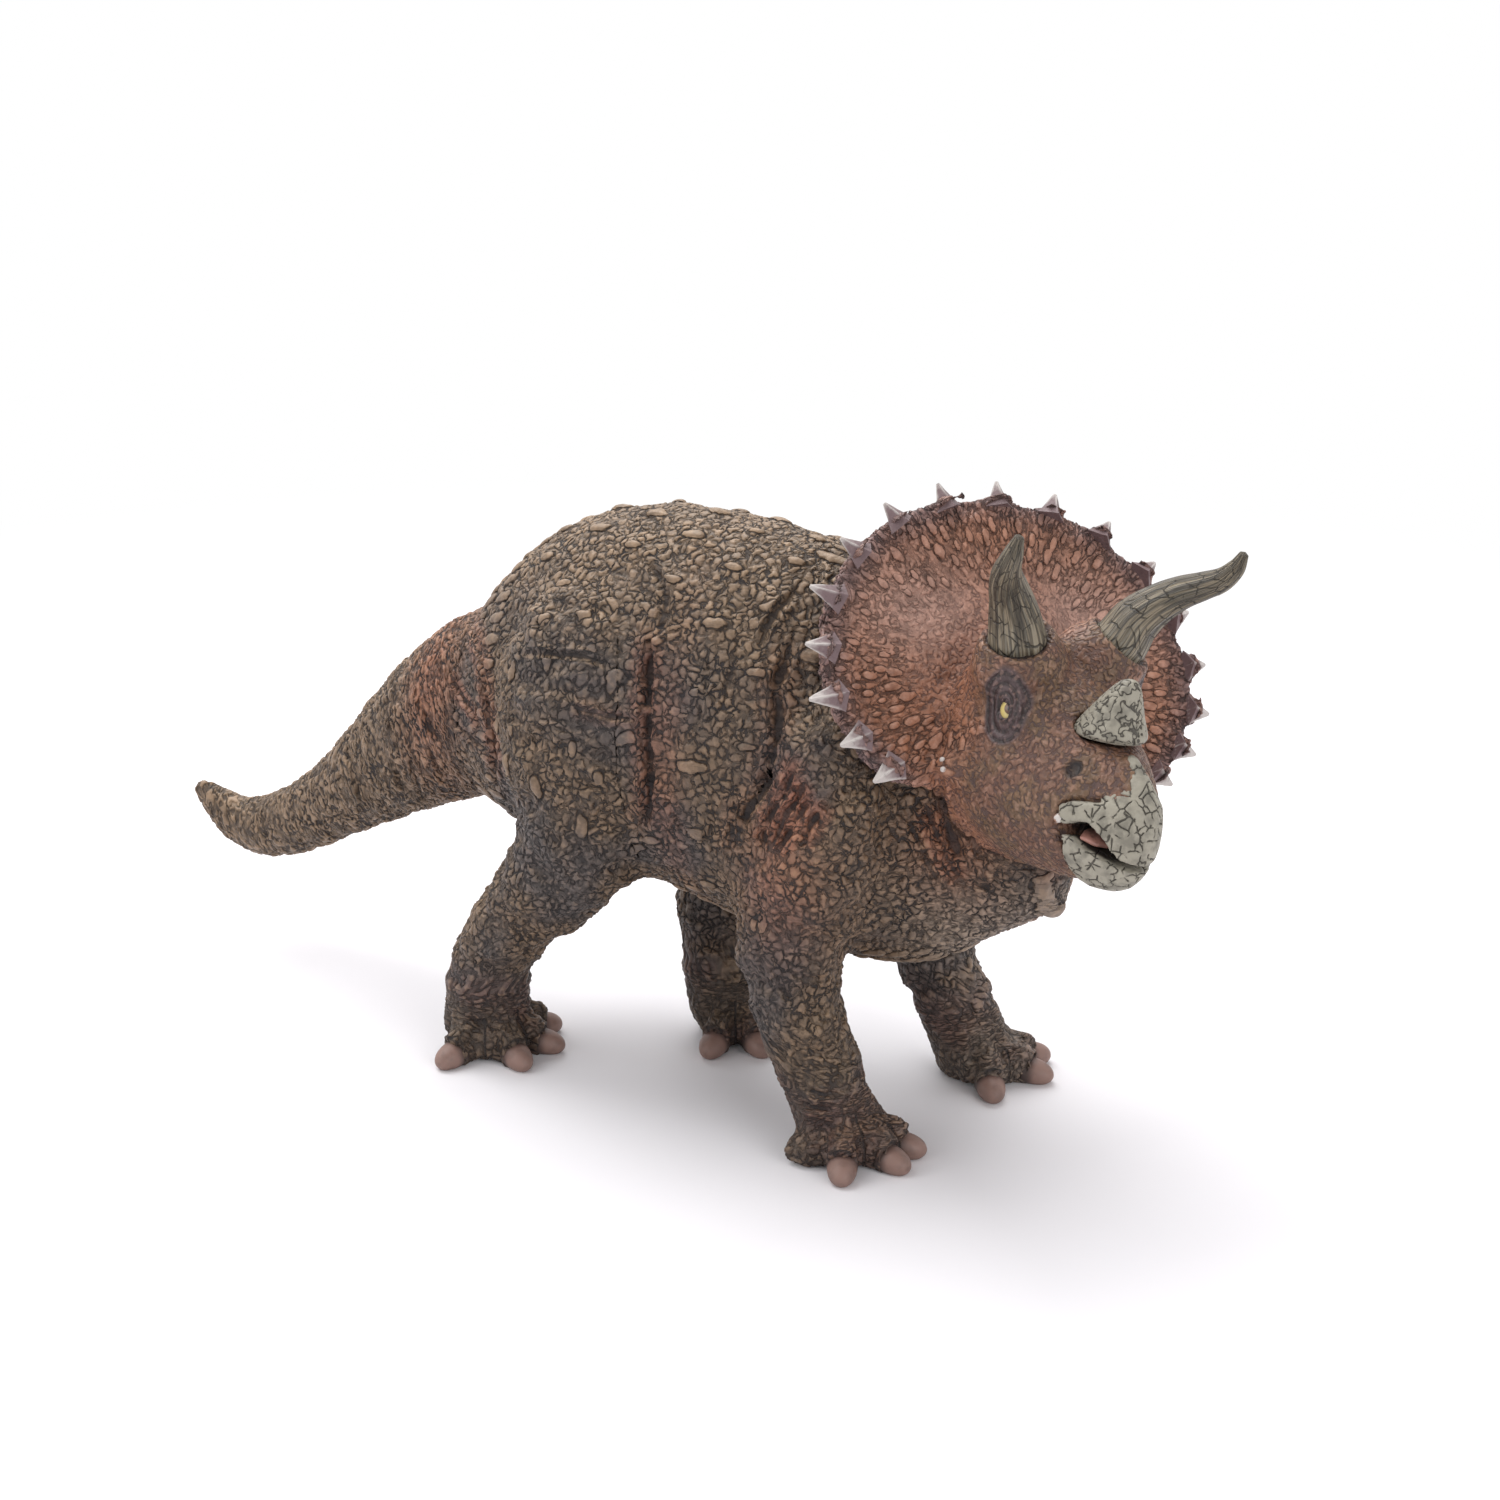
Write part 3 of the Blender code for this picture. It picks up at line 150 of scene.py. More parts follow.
# Folds of the skin: width and depth in millimetres, share of reddish paint beside it, then
# points in the photograph. Those of trunk, thigh and tail are there on the far side too
BODY_FOLDS = (
    (
        0.75, 1.8, 0.45,
        (
            (651, 618), (648, 646), (646, 680), (645, 723),
            (646, 754), (647, 790), (643, 838),
        ),
    ),
    (0.7, 0.7, 0.0, ((645, 560), (657, 575), (664, 600), (660, 625), (653, 640))),
    (0.45, 0.5, 0.0, ((483, 706), (517, 723), (543, 729), (583, 729))),
    (0.45, 0.5, 0.2, ((569, 706), (597, 714), (620, 717), (640, 721))),
    (0.45, 0.45, 0.0, ((517, 654), (554, 654), (583, 656), (609, 666))),
    (0.45, 0.4, 0.0, ((546, 783), (569, 786), (597, 787), (620, 791))),
    (0.45, 0.45, 0.0, ((709, 651), (703, 690), (694, 731))),
    (0.45, 0.45, 0.0, ((739, 634), (729, 680), (719, 709))),
    (0.6, 0.7, 0.0, ((800, 586), (777, 609), (764, 632), (757, 651))),
    (
        0.8, 1.2, 0.2,
        (
            (794, 634), (783, 666), (776, 690), (778, 717),
            (772, 751), (760, 789), (743, 817), (733, 853),
        ),
    ),
    (0.6, 1.0, 0.7, ((803, 754), (783, 789), (769, 817), (757, 856))),
    (0.6, 1.0, 0.9, ((807, 777), (791, 803), (780, 823), (767, 853))),
    (0.6, 0.9, 0.9, ((812, 797), (797, 817), (783, 840), (771, 862))),
    (0.55, 0.8, 0.7, ((826, 800), (810, 826), (798, 850))),
    (0.5, 0.5, 0.0, ((660, 789), (677, 823), (706, 851))),
    (0.5, 0.5, 0.0, ((714, 794), (709, 831), (703, 851))),
    (0.5, 0.6, 0.2, ((734, 794), (731, 829), (726, 860))),
    (0.7, 1.1, 0.5, ((476, 610), (478, 650), (484, 690), (492, 740), (496, 785))),
    (0.5, 0.8, 0.1, ((417, 647), (416, 685), (425, 720), (440, 742))),
    (0.45, 0.6, 0.0, ((376, 687), (387, 720), (397, 750))),
    (0.4, 0.6, 0.0, ((332, 742), (337, 770), (340, 785))),
    (0.45, 0.8, 0.0, ((347, 745), (355, 787), (365, 815), (380, 830))),
    (0.45, 0.6, 0.0, ((387, 755), (400, 787), (410, 813))),
    (0.45, 0.6, 0.0, ((407, 752), (415, 780), (425, 805))),
    (0.45, 0.7, 0.0, ((425, 740), (437, 770), (445, 792))),
    (0.45, 0.6, 0.2, ((442, 710), (460, 730), (485, 750))),
    (0.5, 0.8, 0.7, ((447, 665), (453, 685), (467, 707), (481, 730))),
    (0.35, 0.4, 0.0, ((263, 807), (263, 825), (266, 840))),
    (0.35, 0.4, 0.0, ((287, 817), (296, 832), (307, 847))),
    (0.35, 0.35, 0.0, ((310, 830), (340, 815), (375, 806))),
)
NECK_FOLDS = (
    (0.9, 1.3, 0.2, ((938, 772), (941, 804), (952, 845), (966, 872))),
    (0.6, 0.8, 0.5, ((950, 786), (959, 813), (973, 843), (990, 866))),
    (0.6, 0.8, 0.8, ((925, 802), (934, 830), (950, 866), (966, 890))),
    (0.5, 0.6, 0.2, ((905, 800), (915, 835), (930, 870), (946, 896))),
    (0.5, 0.6, 0.1, ((986, 852), (1018, 864), (1040, 874))),
    (0.45, 0.5, 0.0, ((975, 884), (1005, 893), (1040, 900))),
    (0.6, 0.8, 0.0, ((786, 972), (809, 979), (838, 972))),
    (0.5, 0.7, 0.0, ((768, 962), (778, 985), (790, 1002))),
    (0.6, 0.7, 0.0, ((794, 1100), (820, 1110), (857, 1098))),
    (0.5, 0.6, 0.0, ((799, 1086), (824, 1095), (852, 1085))),
    (0.5, 0.6, 0.0, ((447, 1014), (480, 1024), (520, 1010))),
    (0.5, 0.5, 0.0, ((452, 1000), (486, 1008), (524, 996))),
    (0.5, 0.6, 0.0, ((505, 925), (520, 940), (530, 958))),
)
# Reddish patches of the body: place along and above the floor, half width, half height, share
BLUSH_PLACES = (
    (-0.056, 0.069, 0.007, 0.020, 0.75),
    (0.004, 0.066, 0.0035, 0.022, 0.40),
    (0.027, 0.052, 0.008, 0.012, 0.55),
    (0.052, 0.056, 0.008, 0.010, 0.45),
)
# Places in the photograph's pixels
CHIN_SPOT = (1056, 908)
DISH_SPOT = (922, 606)


def length(value, name, description):
    """A size in metres that a user may change."""
    return FloatProperty(
        name=name,
        description=description,
        default=value,
        precision=5,
        unit="LENGTH",
    )


class FigureSizes(bpy.types.PropertyGroup):
    """Sizes that a user may change before the pieces are made."""

    skin_mesh: length(
        0.00092, "Skin mesh", "Edge length of the first skin surface, which is halved once"
    )
    hard_mesh: length(0.00028, "Horn mesh", "Edge length of the beak and nose horn surfaces")
    scale_size: length(0.00170, "Scale", "Width of a body scale")
    fine_size: length(0.00125, "Fine wrinkle", "Length of a wrinkle of the face")
    scale_depth: length(0.00042, "Scale depth", "Depth of the grooves between body scales")
    stroke_length: length(
        0.0021, "Stroke length", "Length of a winding stroke of tail, ankles and throat"
    )
    stroke_width: length(0.00115, "Stroke width", "Width of a winding stroke with its ridge")
    boss_length: length(
        0.00529, "Boss length", "Length of the raised ovals on back, flank and thigh"
    )
    boss_width: length(0.00230, "Boss width", "Width of the raised ovals")
    boss_spacing: length(0.0072, "Boss spacing", "Least distance between two raised ovals")
    plate_spacing: length(
        0.0027, "Plate spacing", "Least distance between two raised scales of the frill"
    )
    boss_height: length(0.00023, "Boss height", "How far a raised oval stands out")
    wrinkle_depth: length(
        0.00030, "Wrinkle depth", "Depth of the rings round tail, legs and frill rim"
    )
    spike_length: length(0.0042, "Spike length", "How far a spike of the frill stands out")
    spike_width: length(0.0056, "Spike width", "Width of a spike of the frill along the rim")
    nail_length: length(0.0056, "Nail length", "Length of a nail from root to tip")
    eye_size: length(0.0042, "Eye", "Diameter of an eyeball")
    seed: IntProperty(
        name="Seed",
        description="Lays the raised ovals out anew",
        default=4,
    )


def colour(name, description, value):
    """A colour that a user may change."""
    return FloatVectorProperty(
        name=name, description=description, default=value, size=3, min=0, max=1, subtype="COLOR"
    )


class FigureColours(bpy.types.PropertyGroup):
    """Paints of the figure."""

    brown: colour("Brown", "Body scales", (0.138, 0.090, 0.056))
    # Tan is also laid on upward-facing skin as painted top light
    tan: colour("Tan", "Dry-brushed crests of the back", (0.262, 0.176, 0.108))
    wash: colour("Wash", "Grey-blue wash on thigh and flank", (0.067, 0.056, 0.055))
    groove: colour("Groove", "Paint left in the grooves", (0.018, 0.015, 0.016))
    blush: colour("Blush", "Reddish folds", (0.320, 0.118, 0.066))
    frill: colour("Frill", "Orange-brown of the frill", (0.300, 0.135, 0.080))
    rim: colour("Rim", "Dark purple-brown of rim and eyelids", (0.100, 0.068, 0.070))
    dish: colour("Dish", "Pink hollows of the frill", (0.490, 0.300, 0.240))
    face: colour("Face", "Brown of the face", (0.158, 0.078, 0.050))
    ochre: colour("Ochre", "Yellow-brown of cheek and snout", (0.150, 0.086, 0.048))
    # The throat's pale paint also serves as a painted highlight on the front of the chest
    throat: colour("Throat", "Pale scales of the throat", (0.300, 0.235, 0.185))
    horn: colour("Horn", "Olive of the brow horns", (0.098, 0.080, 0.055))
    crack: colour("Crack", "Dark lines in horn and beak", (0.036, 0.031, 0.025))
    beak: colour("Beak", "Grey-green of beak and nose horn", (0.330, 0.305, 0.245))
    nail: colour("Nail", "Taupe of the nails", (0.245, 0.152, 0.125))
    tip: colour("Spike tip", "White dry-brushed on the spikes", (0.560, 0.520, 0.490))
    eye: colour("Eye", "Yellow of the eye", (0.620, 0.500, 0.190))
    iris: colour("Iris", "Brown ring of the eye", (0.120, 0.060, 0.035))
    tongue: colour("Tongue", "Pink of the tongue", (0.400, 0.195, 0.155))
    floor: colour("Floor", "Pale floor", (0.880, 0.865, 0.890))


def sizes():
    return bpy.context.scene.figure_sizes


def paints():
    return bpy.context.scene.figure_colours


def step(value, low, high):
    """A smooth rise from 0 at low to 1 at high."""
    t = np.clip((value - low) / (high - low), 0.0, 1.0)
    return t * t * (3.0 - 2.0 * t)


# Nodes


class Web:
    """Lays nodes in a material or geometry tree and joins them."""

    def __init__(self, tree):
        self.tree = tree
        self.shading = tree.bl_idname == "ShaderNodeTree"

    def add(self, kind, inputs=(), **settings):
        """A node with its settings and with values or sockets on its named inputs."""
        node = self.tree.nodes.new(kind)
        count = len(self.tree.nodes)
        node.location = (count % 10 * 190, -(count // 10) * 260)
        for name, value in settings.items():
            setattr(node, name, value)
        for name, value in dict(inputs).items():
            self.feed(node.inputs[name], value)
        return node

    def feed(self, socket, value):
        """Joins a socket to another, or sets its value."""
        if isinstance(value, bpy.types.NodeSocket):
            self.tree.links.new(value, socket)
        else:
            socket.default_value = value

    def math(self, operation, *values):
        node = self.add("ShaderNodeMath", operation=operation)
        for socket, value in zip(node.inputs, values):
            self.feed(socket, value)
        return node.outputs[0]

    def vector(self, operation, *values):
        node = self.add("ShaderNodeVectorMath", operation=operation)
        slots = [node.inputs[0], node.inputs[1], node.inputs[2]]
        if operation == "SCALE":
            slots = [node.inputs[0], node.inputs["Scale"]]
        for socket, value in zip(slots, values):
            self.feed(socket, value)
        return node.outputs["Value" if operation in ("LENGTH", "DOT_PRODUCT") else "Vector"]

    def step(self, value, low, high, bottom=0.0, top=1.0):
        """A smooth rise between two values."""
        node = self.add("ShaderNodeMapRange", interpolation_type="SMOOTHSTEP")
        for socket, entry in zip(node.inputs, (value, low, high, bottom, top)):
            self.feed(socket, entry)
        return node.outputs[0]

    def blend(self, first, second, share):
        """A number between two others."""
        difference = self.math("SUBTRACT", second, first)
        return self.math("MULTIPLY_ADD", difference, share, first)

    def tint(self, first, second, share, mode="MIX"):
        """A colour between two others."""
        node = self.add("ShaderNodeMix", data_type="RGBA", blend_type=mode)
        self.feed(node.inputs[0], share)
        for socket, value in zip((node.inputs[6], node.inputs[7]), (first, second)):
            if not isinstance(value, bpy.types.NodeSocket):
                value = (*value, 1.0)
            self.feed(socket, value)
        return node.outputs[2]

    def noise(self, place, scale, detail=3.0, output=0):
        node = self.add(
            "ShaderNodeTexNoise", {"Vector": place, "Scale": scale, "Detail": detail}
        )
        return node.outputs[output]

    def attribute(self, name, kind="FLOAT"):
        """A value that the mesh carries."""
        if self.shading:
            node = self.add("ShaderNodeAttribute", attribute_name=name)
            return node.outputs["Vector" if kind == "FLOAT_VECTOR" else "Fac"]
        node = self.add("GeometryNodeInputNamedAttribute", data_type=kind)
        node.inputs["Name"].default_value = name
        return node.outputs[0]

    def shift(self, place, amount, scale):
        """A place moved a little by noise."""
        push = self.vector("SUBTRACT", self.noise(place, scale, 2.0, 1), (0.5, 0.5, 0.5))
        return self.vector("ADD", place, self.vector("SCALE", push, amount))

    def cells(self, place, normal, scale):
        """Distance over the surface to the edge of a cell, in cells, and its random value.

        The wall between two cells may cross the surface at a slant. Dividing by the slant
        keeps every groove equally wide.
        """
        near, far = (
            self.add("ShaderNodeTexVoronoi", {"Vector": place, "Scale": scale}, feature=kind)
            for kind in ("F1", "F2")
        )
        span = self.vector("SUBTRACT", far.outputs["Position"], near.outputs["Position"])
        length = self.math("MULTIPLY", self.vector("LENGTH", span), scale)
        squares = [
            self.math("MULTIPLY", node.outputs["Distance"], node.outputs["Distance"])
            for node in (far, near)
        ]
        wall = self.math("DIVIDE", self.math("SUBTRACT", *squares), length)
        lean = self.vector("DOT_PRODUCT", self.vector("NORMALIZE", span), normal)
        slant = self.math("SUBTRACT", 1.0, self.math("MULTIPLY", lean, lean))
        slant = self.math("SQRT", self.math("MAXIMUM", slant, 0.02))
        edge = self.math("DIVIDE", self.math("MULTIPLY", wall, 0.5), slant)
        return edge, near.outputs["Color"]


def new_geometry_tree(name, settings):
    """A geometry tree with a geometry in and out and named inputs for its sizes."""
    tree = bpy.data.node_groups.new(name, "GeometryNodeTree")
    sockets = tree.interface
    sockets.new_socket("Geometry", in_out="INPUT", socket_type="NodeSocketGeometry")
    for label, value in settings.items():
        kind = "NodeSocketInt" if isinstance(value, int) else "NodeSocketFloat"
        if isinstance(value, bpy.types.Material):
            kind = "NodeSocketMaterial"
        sockets.new_socket(label, in_out="INPUT", socket_type=kind)
    sockets.new_socket("Geometry", in_out="OUTPUT", socket_type="NodeSocketGeometry")
    web = Web(tree)
    return tree, web, web.add("NodeGroupInput"), web.add("NodeGroupOutput")


def grow(obj, tree, settings):
    """Runs a geometry tree on an object and leaves its result as a plain mesh."""
    modifier = obj.modifiers.new(tree.name, "NODES")
    modifier.node_group = tree
    for item in tree.interface.items_tree:
        if item.in_out == "INPUT" and item.name in settings:
            modifier[item.identifier] = settings[item.name]
    return flattened(obj)


def store(web, geometry, name, value, kind="FLOAT"):
    node = web.add("GeometryNodeStoreNamedAttribute", data_type=kind, domain="POINT")
    node.inputs["Name"].default_value = name
    web.feed(node.inputs["Geometry"], geometry)
    web.feed(node.inputs["Value"], value)
    return node.outputs["Geometry"]


def finished(web, geometry, material, group_out):
    """Ends a tree with Realize Instances and Set Material."""
    real = web.add("GeometryNodeRealizeInstances", {"Geometry": geometry})
    painted = web.add(
        "GeometryNodeSetMaterial", {"Geometry": real.outputs[0], "Material": material}
    )
    web.feed(group_out.inputs[0], painted.outputs[0])


# Meshes


def link(name, data):
    obj = bpy.data.objects.new(name, data)
    bpy.context.scene.collection.objects.link(obj)
    return obj


def flattened(obj):
    """Turns an object and its modifiers into a plain mesh."""
    bpy.context.view_layer.update()
    graph = bpy.context.evaluated_depsgraph_get()
    mesh = bpy.data.meshes.new_from_object(obj.evaluated_get(graph), depsgraph=graph)
    obj.modifiers.clear()
    obj.data = mesh
    return obj


def cad_copy(name, swell=0.0):
    """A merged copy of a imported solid, larger on every side by swell."""
    bm = bmesh.new()
    bm.from_mesh(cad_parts[name].data)
    bmesh.ops.remove_doubles(bm, verts=bm.verts, dist=MERGE_DISTANCE)
    bmesh.ops.recalc_face_normals(bm, faces=bm.faces)
    bm.normal_update()
    for vertex in bm.verts:
        vertex.co += vertex.normal * swell
    mesh = bpy.data.meshes.new(f"{name}_copy")
    bm.to_mesh(mesh)
    bm.free()
    return link(mesh.name, mesh)


def voxel_form(names, size, swell=0.0):
    """One closed surface round some solids, on an even grid."""
    bm = bmesh.new()
    for name in names:
        copy = cad_copy(name, swell)
        bm.from_mesh(copy.data)
        bpy.data.objects.remove(copy)
    mesh = bpy.data.meshes.new("form")
    bm.to_mesh(mesh)
    bm.free()
    obj = link("form", mesh)
    modifier = obj.modifiers.new("Grid", "REMESH")
    modifier.mode = "VOXEL"
    modifier.voxel_size = size
    return flattened(obj)


def faces_of(mesh):
    corners = np.empty(len(mesh.loops), np.int32)
    mesh.loops.foreach_get("vertex_index", corners)
    return corners.reshape(-1, 4)


def values_of(mesh, name, width=1):
    """An attribute of a mesh as an array."""
    values = np.empty(len(mesh.vertices) * width, np.float32)
    if name == "position":
        mesh.vertices.foreach_get("co", values)
    else:
        data = mesh.attributes[name].data
        data.foreach_get("value" if width == 1 else "vector", values)
    return values.astype(float) if width == 1 else values.astype(float).reshape(-1, width)


def mesh_from(name, points, quads, triangles, values):
    """A smooth mesh from arrays, with its attributes."""
    mesh = bpy.data.meshes.new(name)
    mesh.vertices.add(len(points))
    mesh.vertices.foreach_set("co", np.ascontiguousarray(points, np.float32).ravel())
    corners = np.concatenate([quads.ravel(), triangles.ravel()])
    mesh.loops.add(len(corners))
    mesh.loops.foreach_set("vertex_index", corners.astype(np.int32))
    starts = np.concatenate(
        [
            np.arange(len(quads)) * 4,
            len(quads) * 4 + np.arange(len(triangles)) * 3,
        ]
    )
    mesh.polygons.add(len(starts))
    mesh.polygons.foreach_set("loop_start", starts.astype(np.int32))
    mesh.update(calc_edges=True)
    mesh.shade_smooth()
    for label, entries in values.items():
        set_values(mesh, label, entries)
    return mesh


def set_values(mesh, name, entries):
    """Gives a mesh an attribute of one or three numbers a point."""
    entries = np.ascontiguousarray(entries, np.float32)
    wide = entries.ndim == 2
    kind = "FLOAT_VECTOR" if wide else "FLOAT"
    attribute = mesh.attributes.get(name) or mesh.attributes.new(name, kind, "POINT")
    attribute.data.foreach_set("vector" if wide else "value", entries.ravel())


class Surface:
    """A closed surface of four-sided faces held as arrays."""

    def __init__(self, mesh):
        self.points = values_of(mesh, "position", 3)
        self.faces = faces_of(mesh)
        self.link_up()

    def link_up(self):
        self.start = self.faces.ravel()
        self.end = np.roll(self.faces, -1, axis=1).ravel()
        self.valence = np.maximum(np.bincount(self.start, minlength=len(self.points)), 1)

    def mean(self, values):
        """The mean of each point's neighbours."""
        count = len(self.points)
        if values.ndim == 1:
            return np.bincount(self.start, values[self.end], count) / self.valence
        columns = [np.bincount(self.start, column[self.end], count) for column in values.T]
        return np.stack(columns, axis=1) / self.valence[:, None]

    def smooth(self, weights, rounds):
        for _ in range(rounds):
            self.points += weights[:, None] * (self.mean(self.points) - self.points)

    def fill_in(self, weights, rounds):
        """Rounds the hollow seams and leaves the full forms as they are."""
        for _ in range(rounds):
            push = self.mean(self.points) - self.points
            outward = np.einsum("ij,ij->i", push, self.normals())
            share = weights * np.where(outward > 0.0, 1.0, 0.12)
            self.points += share[:, None] * push

    def normals(self):
        corners = self.points[self.faces]
        across = np.cross(corners[:, 2] - corners[:, 0], corners[:, 3] - corners[:, 1])
        total = np.zeros_like(self.points)
        for corner in range(4):
            for axis in range(3):
                total[:, axis] += np.bincount(
                    self.faces[:, corner], across[:, axis], len(self.points)
                )
        return total / np.maximum(np.linalg.norm(total, axis=1, keepdims=True), 1e-20)

    def keep_largest(self):
        """Drops closed hollows inside the surface."""
        labels = np.arange(len(self.points))
        while True:
            before = labels.copy()
            np.minimum.at(labels, self.start, labels[self.end])
            labels = labels[labels]
            if np.array_equal(before, labels):
                break
        keep = labels == np.bincount(labels).argmax()
        index = np.cumsum(keep) - 1
        self.faces = index[self.faces[keep[self.faces[:, 0]]]]
        self.points = self.points[keep]
        self.link_up()


def distances(obj, nodes):
    """Distance from every point of a surface to each of some solids."""
    tree, web, group_in, group_out = new_geometry_tree("Distances", {})
    geometry = group_in.outputs[0]
    copies = [cad_copy(name) for name in nodes]
    for name, copy in zip(nodes, copies):
        source = web.add("GeometryNodeObjectInfo", {"Object": copy})
        near = web.add("GeometryNodeProximity", target_element="FACES")
        web.feed(near.inputs[0], source.outputs["Geometry"])
        geometry = store(web, geometry, f"near_{name}", near.outputs["Distance"])
    web.feed(group_out.inputs[0], geometry)
    grow(obj, tree, {})
    for copy in copies:
        bpy.data.objects.remove(copy)
    return np.stack([values_of(obj.data, f"near_{name}") for name in nodes])


# Camera and places


def camera_matrix():
    """Where the photograph's camera stands."""
    azimuth, rise = math.radians(CAMERA_AZIMUTH), math.radians(CAMERA_ELEVATION)
    back = Vector(
        (
            math.sin(azimuth) * math.cos(rise),
            -math.cos(azimuth) * math.cos(rise),
            math.sin(rise),
        )
    )
    turn = back.to_track_quat("Z", "Y").to_matrix().to_4x4()
    return Matrix.Translation(CAMERA_TARGET + FIGURE_SHIFT + back * CAMERA_DISTANCE) @ turn


def on_skin(obj, spot):
    """The point of a surface that lies behind a spot of the photograph."""
    place = camera_matrix()
    half = PHOTO_SIZE / 2
    ray = Vector((spot[0] - half, half - spot[1], -CAMERA_FOCUS)).normalized()
    hit, point, _, _ = obj.ray_cast(place.translation, place.to_3x3() @ ray)
    return point if hit else None


def to_head(points):
    """Points in the head's frame."""
    inverse = np.array(HEAD.inverted())
    return points @ inverse[:3, :3].T + inverse[:3, 3]


def head_point(x, y, z):
    return HEAD @ Vector((x, y, z))


def frill_share(local):
    """Place of points on the frill: share of the way to its rim, turn from straight up,
    distance from the middle and height over its sheet."""
    away = local - np.array(FRILL_CENTRE)
    across = away[:, 1]
    up = away @ np.array(FRILL_UP)
    over = away @ np.array(FRILL_FORWARD)
    reach = np.hypot(across, up)
    turn = np.arctan2(across, up)
    return reach / rim_distance(turn), turn, reach, over


def rim_distance(turn):
    """Distance of the frill's rim from its centre."""
    tall = np.where(np.cos(turn) > 0, FRILL_RISE, FRILL_DROP)
    wide = np.abs(np.sin(turn)) / FRILL_HALF_WIDTH
    high = np.abs(np.cos(turn)) / tall
    return (wide**FRILL_FULLNESS + high**FRILL_FULLNESS) ** (-1.0 / FRILL_FULLNESS)


def rim_line(steps):
    """Points along the frill's rim in the row's frame."""
    points = []
    for turn in np.linspace(-FRILL_SPREAD, FRILL_SPREAD, steps):
        out = Vector((0.0, math.sin(turn), 0.0)) + FRILL_UP * math.cos(turn)
        points.append(HEAD @ (FRILL_CENTRE + out * float(rim_distance(turn))))
    return points


def spike_shares():
    """How far along the rim each spike stands, closer together towards both ends."""
    for i in range(SPIKE_COUNT):
        even = 2 * (i + SPIKE_END_SHARE) / (SPIKE_COUNT - 1 + 2 * SPIKE_END_SHARE) - 1
        yield (1 + even + SPIKE_CROWD_SHARE * math.sin(math.pi * even) / math.pi) / 2


def spike_places():
    """Where the spikes stand on the rim."""
    points = rim_line(240)
    run = np.cumsum([0.0, *((b - a).length for a, b in zip(points, points[1:]))])
    shares = [share * run[-1] for share in spike_shares()]
    return np.stack([np.interp(shares, run, [p[axis] for p in points]) for axis in range(3)], axis=1)


# Sculpting


def curved_line(points, between=5):
    """A smooth line through points."""
    ends = [points[0] * 2 - points[1], *points, points[-1] * 2 - points[-2]]
    line = []
    for a, b, c, d in zip(ends, ends[1:], ends[2:], ends[3:]):
        for i in range(between):
            t = i / between
            line.append(
                (
                    b * 2
                    + (c - a) * t
                    + (a * 2 - b * 5 + c * 4 - d) * t**2
                    + (b * 3 - a - c * 3 + d) * t**3
                )
                / 2
            )
    return [*line, points[-1]]


def line_distance(points, line):
    """Distance of points from a line, and how far along it they are, as a share."""
    best = np.full(len(points), np.inf)
    along = np.zeros(len(points))
    total = sum((b - a).length for a, b in zip(line, line[1:]))
    run = 0.0
    for a, b in zip(line, line[1:]):
        start, span = np.array(a), np.array(b - a)
        length = max(np.linalg.norm(span), 1e-9)
        share = np.clip((points - start) @ span / length**2, 0.0, 1.0)
        away = np.linalg.norm(points - start - share[:, None] * span, axis=1)
        nearer = away < best
        best[nearer] = away[nearer]
        along[nearer] = (run + share[nearer] * length) / total
        run += length
    return best, along


def sway(points, length, size):
    """A gentle wander, the same for the same place."""
    k = math.tau / length
    x, y, z = points.T
    return size * (
        np.sin(k * x + 2.1 * np.sin(k * 0.7 * z)) + np.sin(k * 1.3 * z + 1.7 * np.sin(k * 0.9 * y))
    ) / 2


def fold(skin, line, width, depth, warm):
    """Lays a fold along a line: how far it presses in, and how near its slit is."""
    low = np.array([min(p[axis] for p in line) for axis in range(3)]) - 5 * width
    high = np.array([max(p[axis] for p in line) for axis in range(3)]) + 5 * width
    inside = np.all((skin.points > low) & (skin.points < high), axis=1).nonzero()[0]
    points = skin.points[inside]
    away, along = line_distance(points, curved_line(line))
    away = np.abs(away + sway(points, 0.007, 0.45 * width))
    taper = step(along, -0.05, 0.20) * (1.0 - step(along, 0.78, 1.05))
    press = np.exp(-((away / width) ** 2)) * taper * depth
    skin.press[inside] = np.maximum(skin.press[inside], press)
    lip = np.exp(-(((away - 2.0 * width) / width) ** 2)) * taper * depth * 0.30
    skin.lip[inside] = np.maximum(skin.lip[inside], lip)
    slit = away / (min(0.50 + 430.0 * depth, 1.0) * width * np.maximum(taper, 0.05))
    skin.slit[inside] = np.minimum(skin.slit[inside], slit)
    glow = warm * taper * (1.0 - step(away / width, 2.2, 6.5))
    skin.warmth[inside] = np.maximum(skin.warmth[inside], glow)


def far_side(obj, line):
    """The same line on the other side of the body."""
    mirrored = [Vector((p.x, 2 * FIGURE_SHIFT.y - p.y, p.z)) for p in line]
    found = [obj.closest_point_on_mesh(p) for p in mirrored]
    return [point for hit, point, _, _ in found if hit]


def sculpt_folds(skin, obj):
    """All folds that the photograph shows."""
    skin.facing = skin.normals()
    count = len(skin.points)
    skin.press, skin.lip, skin.warmth = (np.zeros(count) for _ in range(3))
    skin.slit = np.full(count, 4.0)
    for table, both in ((BODY_FOLDS, True), (NECK_FOLDS, False)):
        for width, depth, warm, spots in table:
            line = [point for point in (on_skin(obj, spot) for spot in spots) if point]
            if len(line) < 2:
                continue
            if both:
                other = far_side(obj, line)
            else:
                local = [HEAD.inverted() @ point for point in line]
                turned = [HEAD @ Vector((p.x, -p.y, p.z)) for p in local]
                other = [obj.closest_point_on_mesh(p)[1] for p in turned]
            for path in (line, other):
                fold(skin, path, width / 1000, depth / 1000, warm)
    depth = skin.lip * (1.0 - step(skin.press, 0.0001, 0.0004)) - skin.press
    skin.points += skin.facing * depth[:, None]
    skin.smooth(0.35 * step(skin.press, 0.0001, 0.0006), 2)


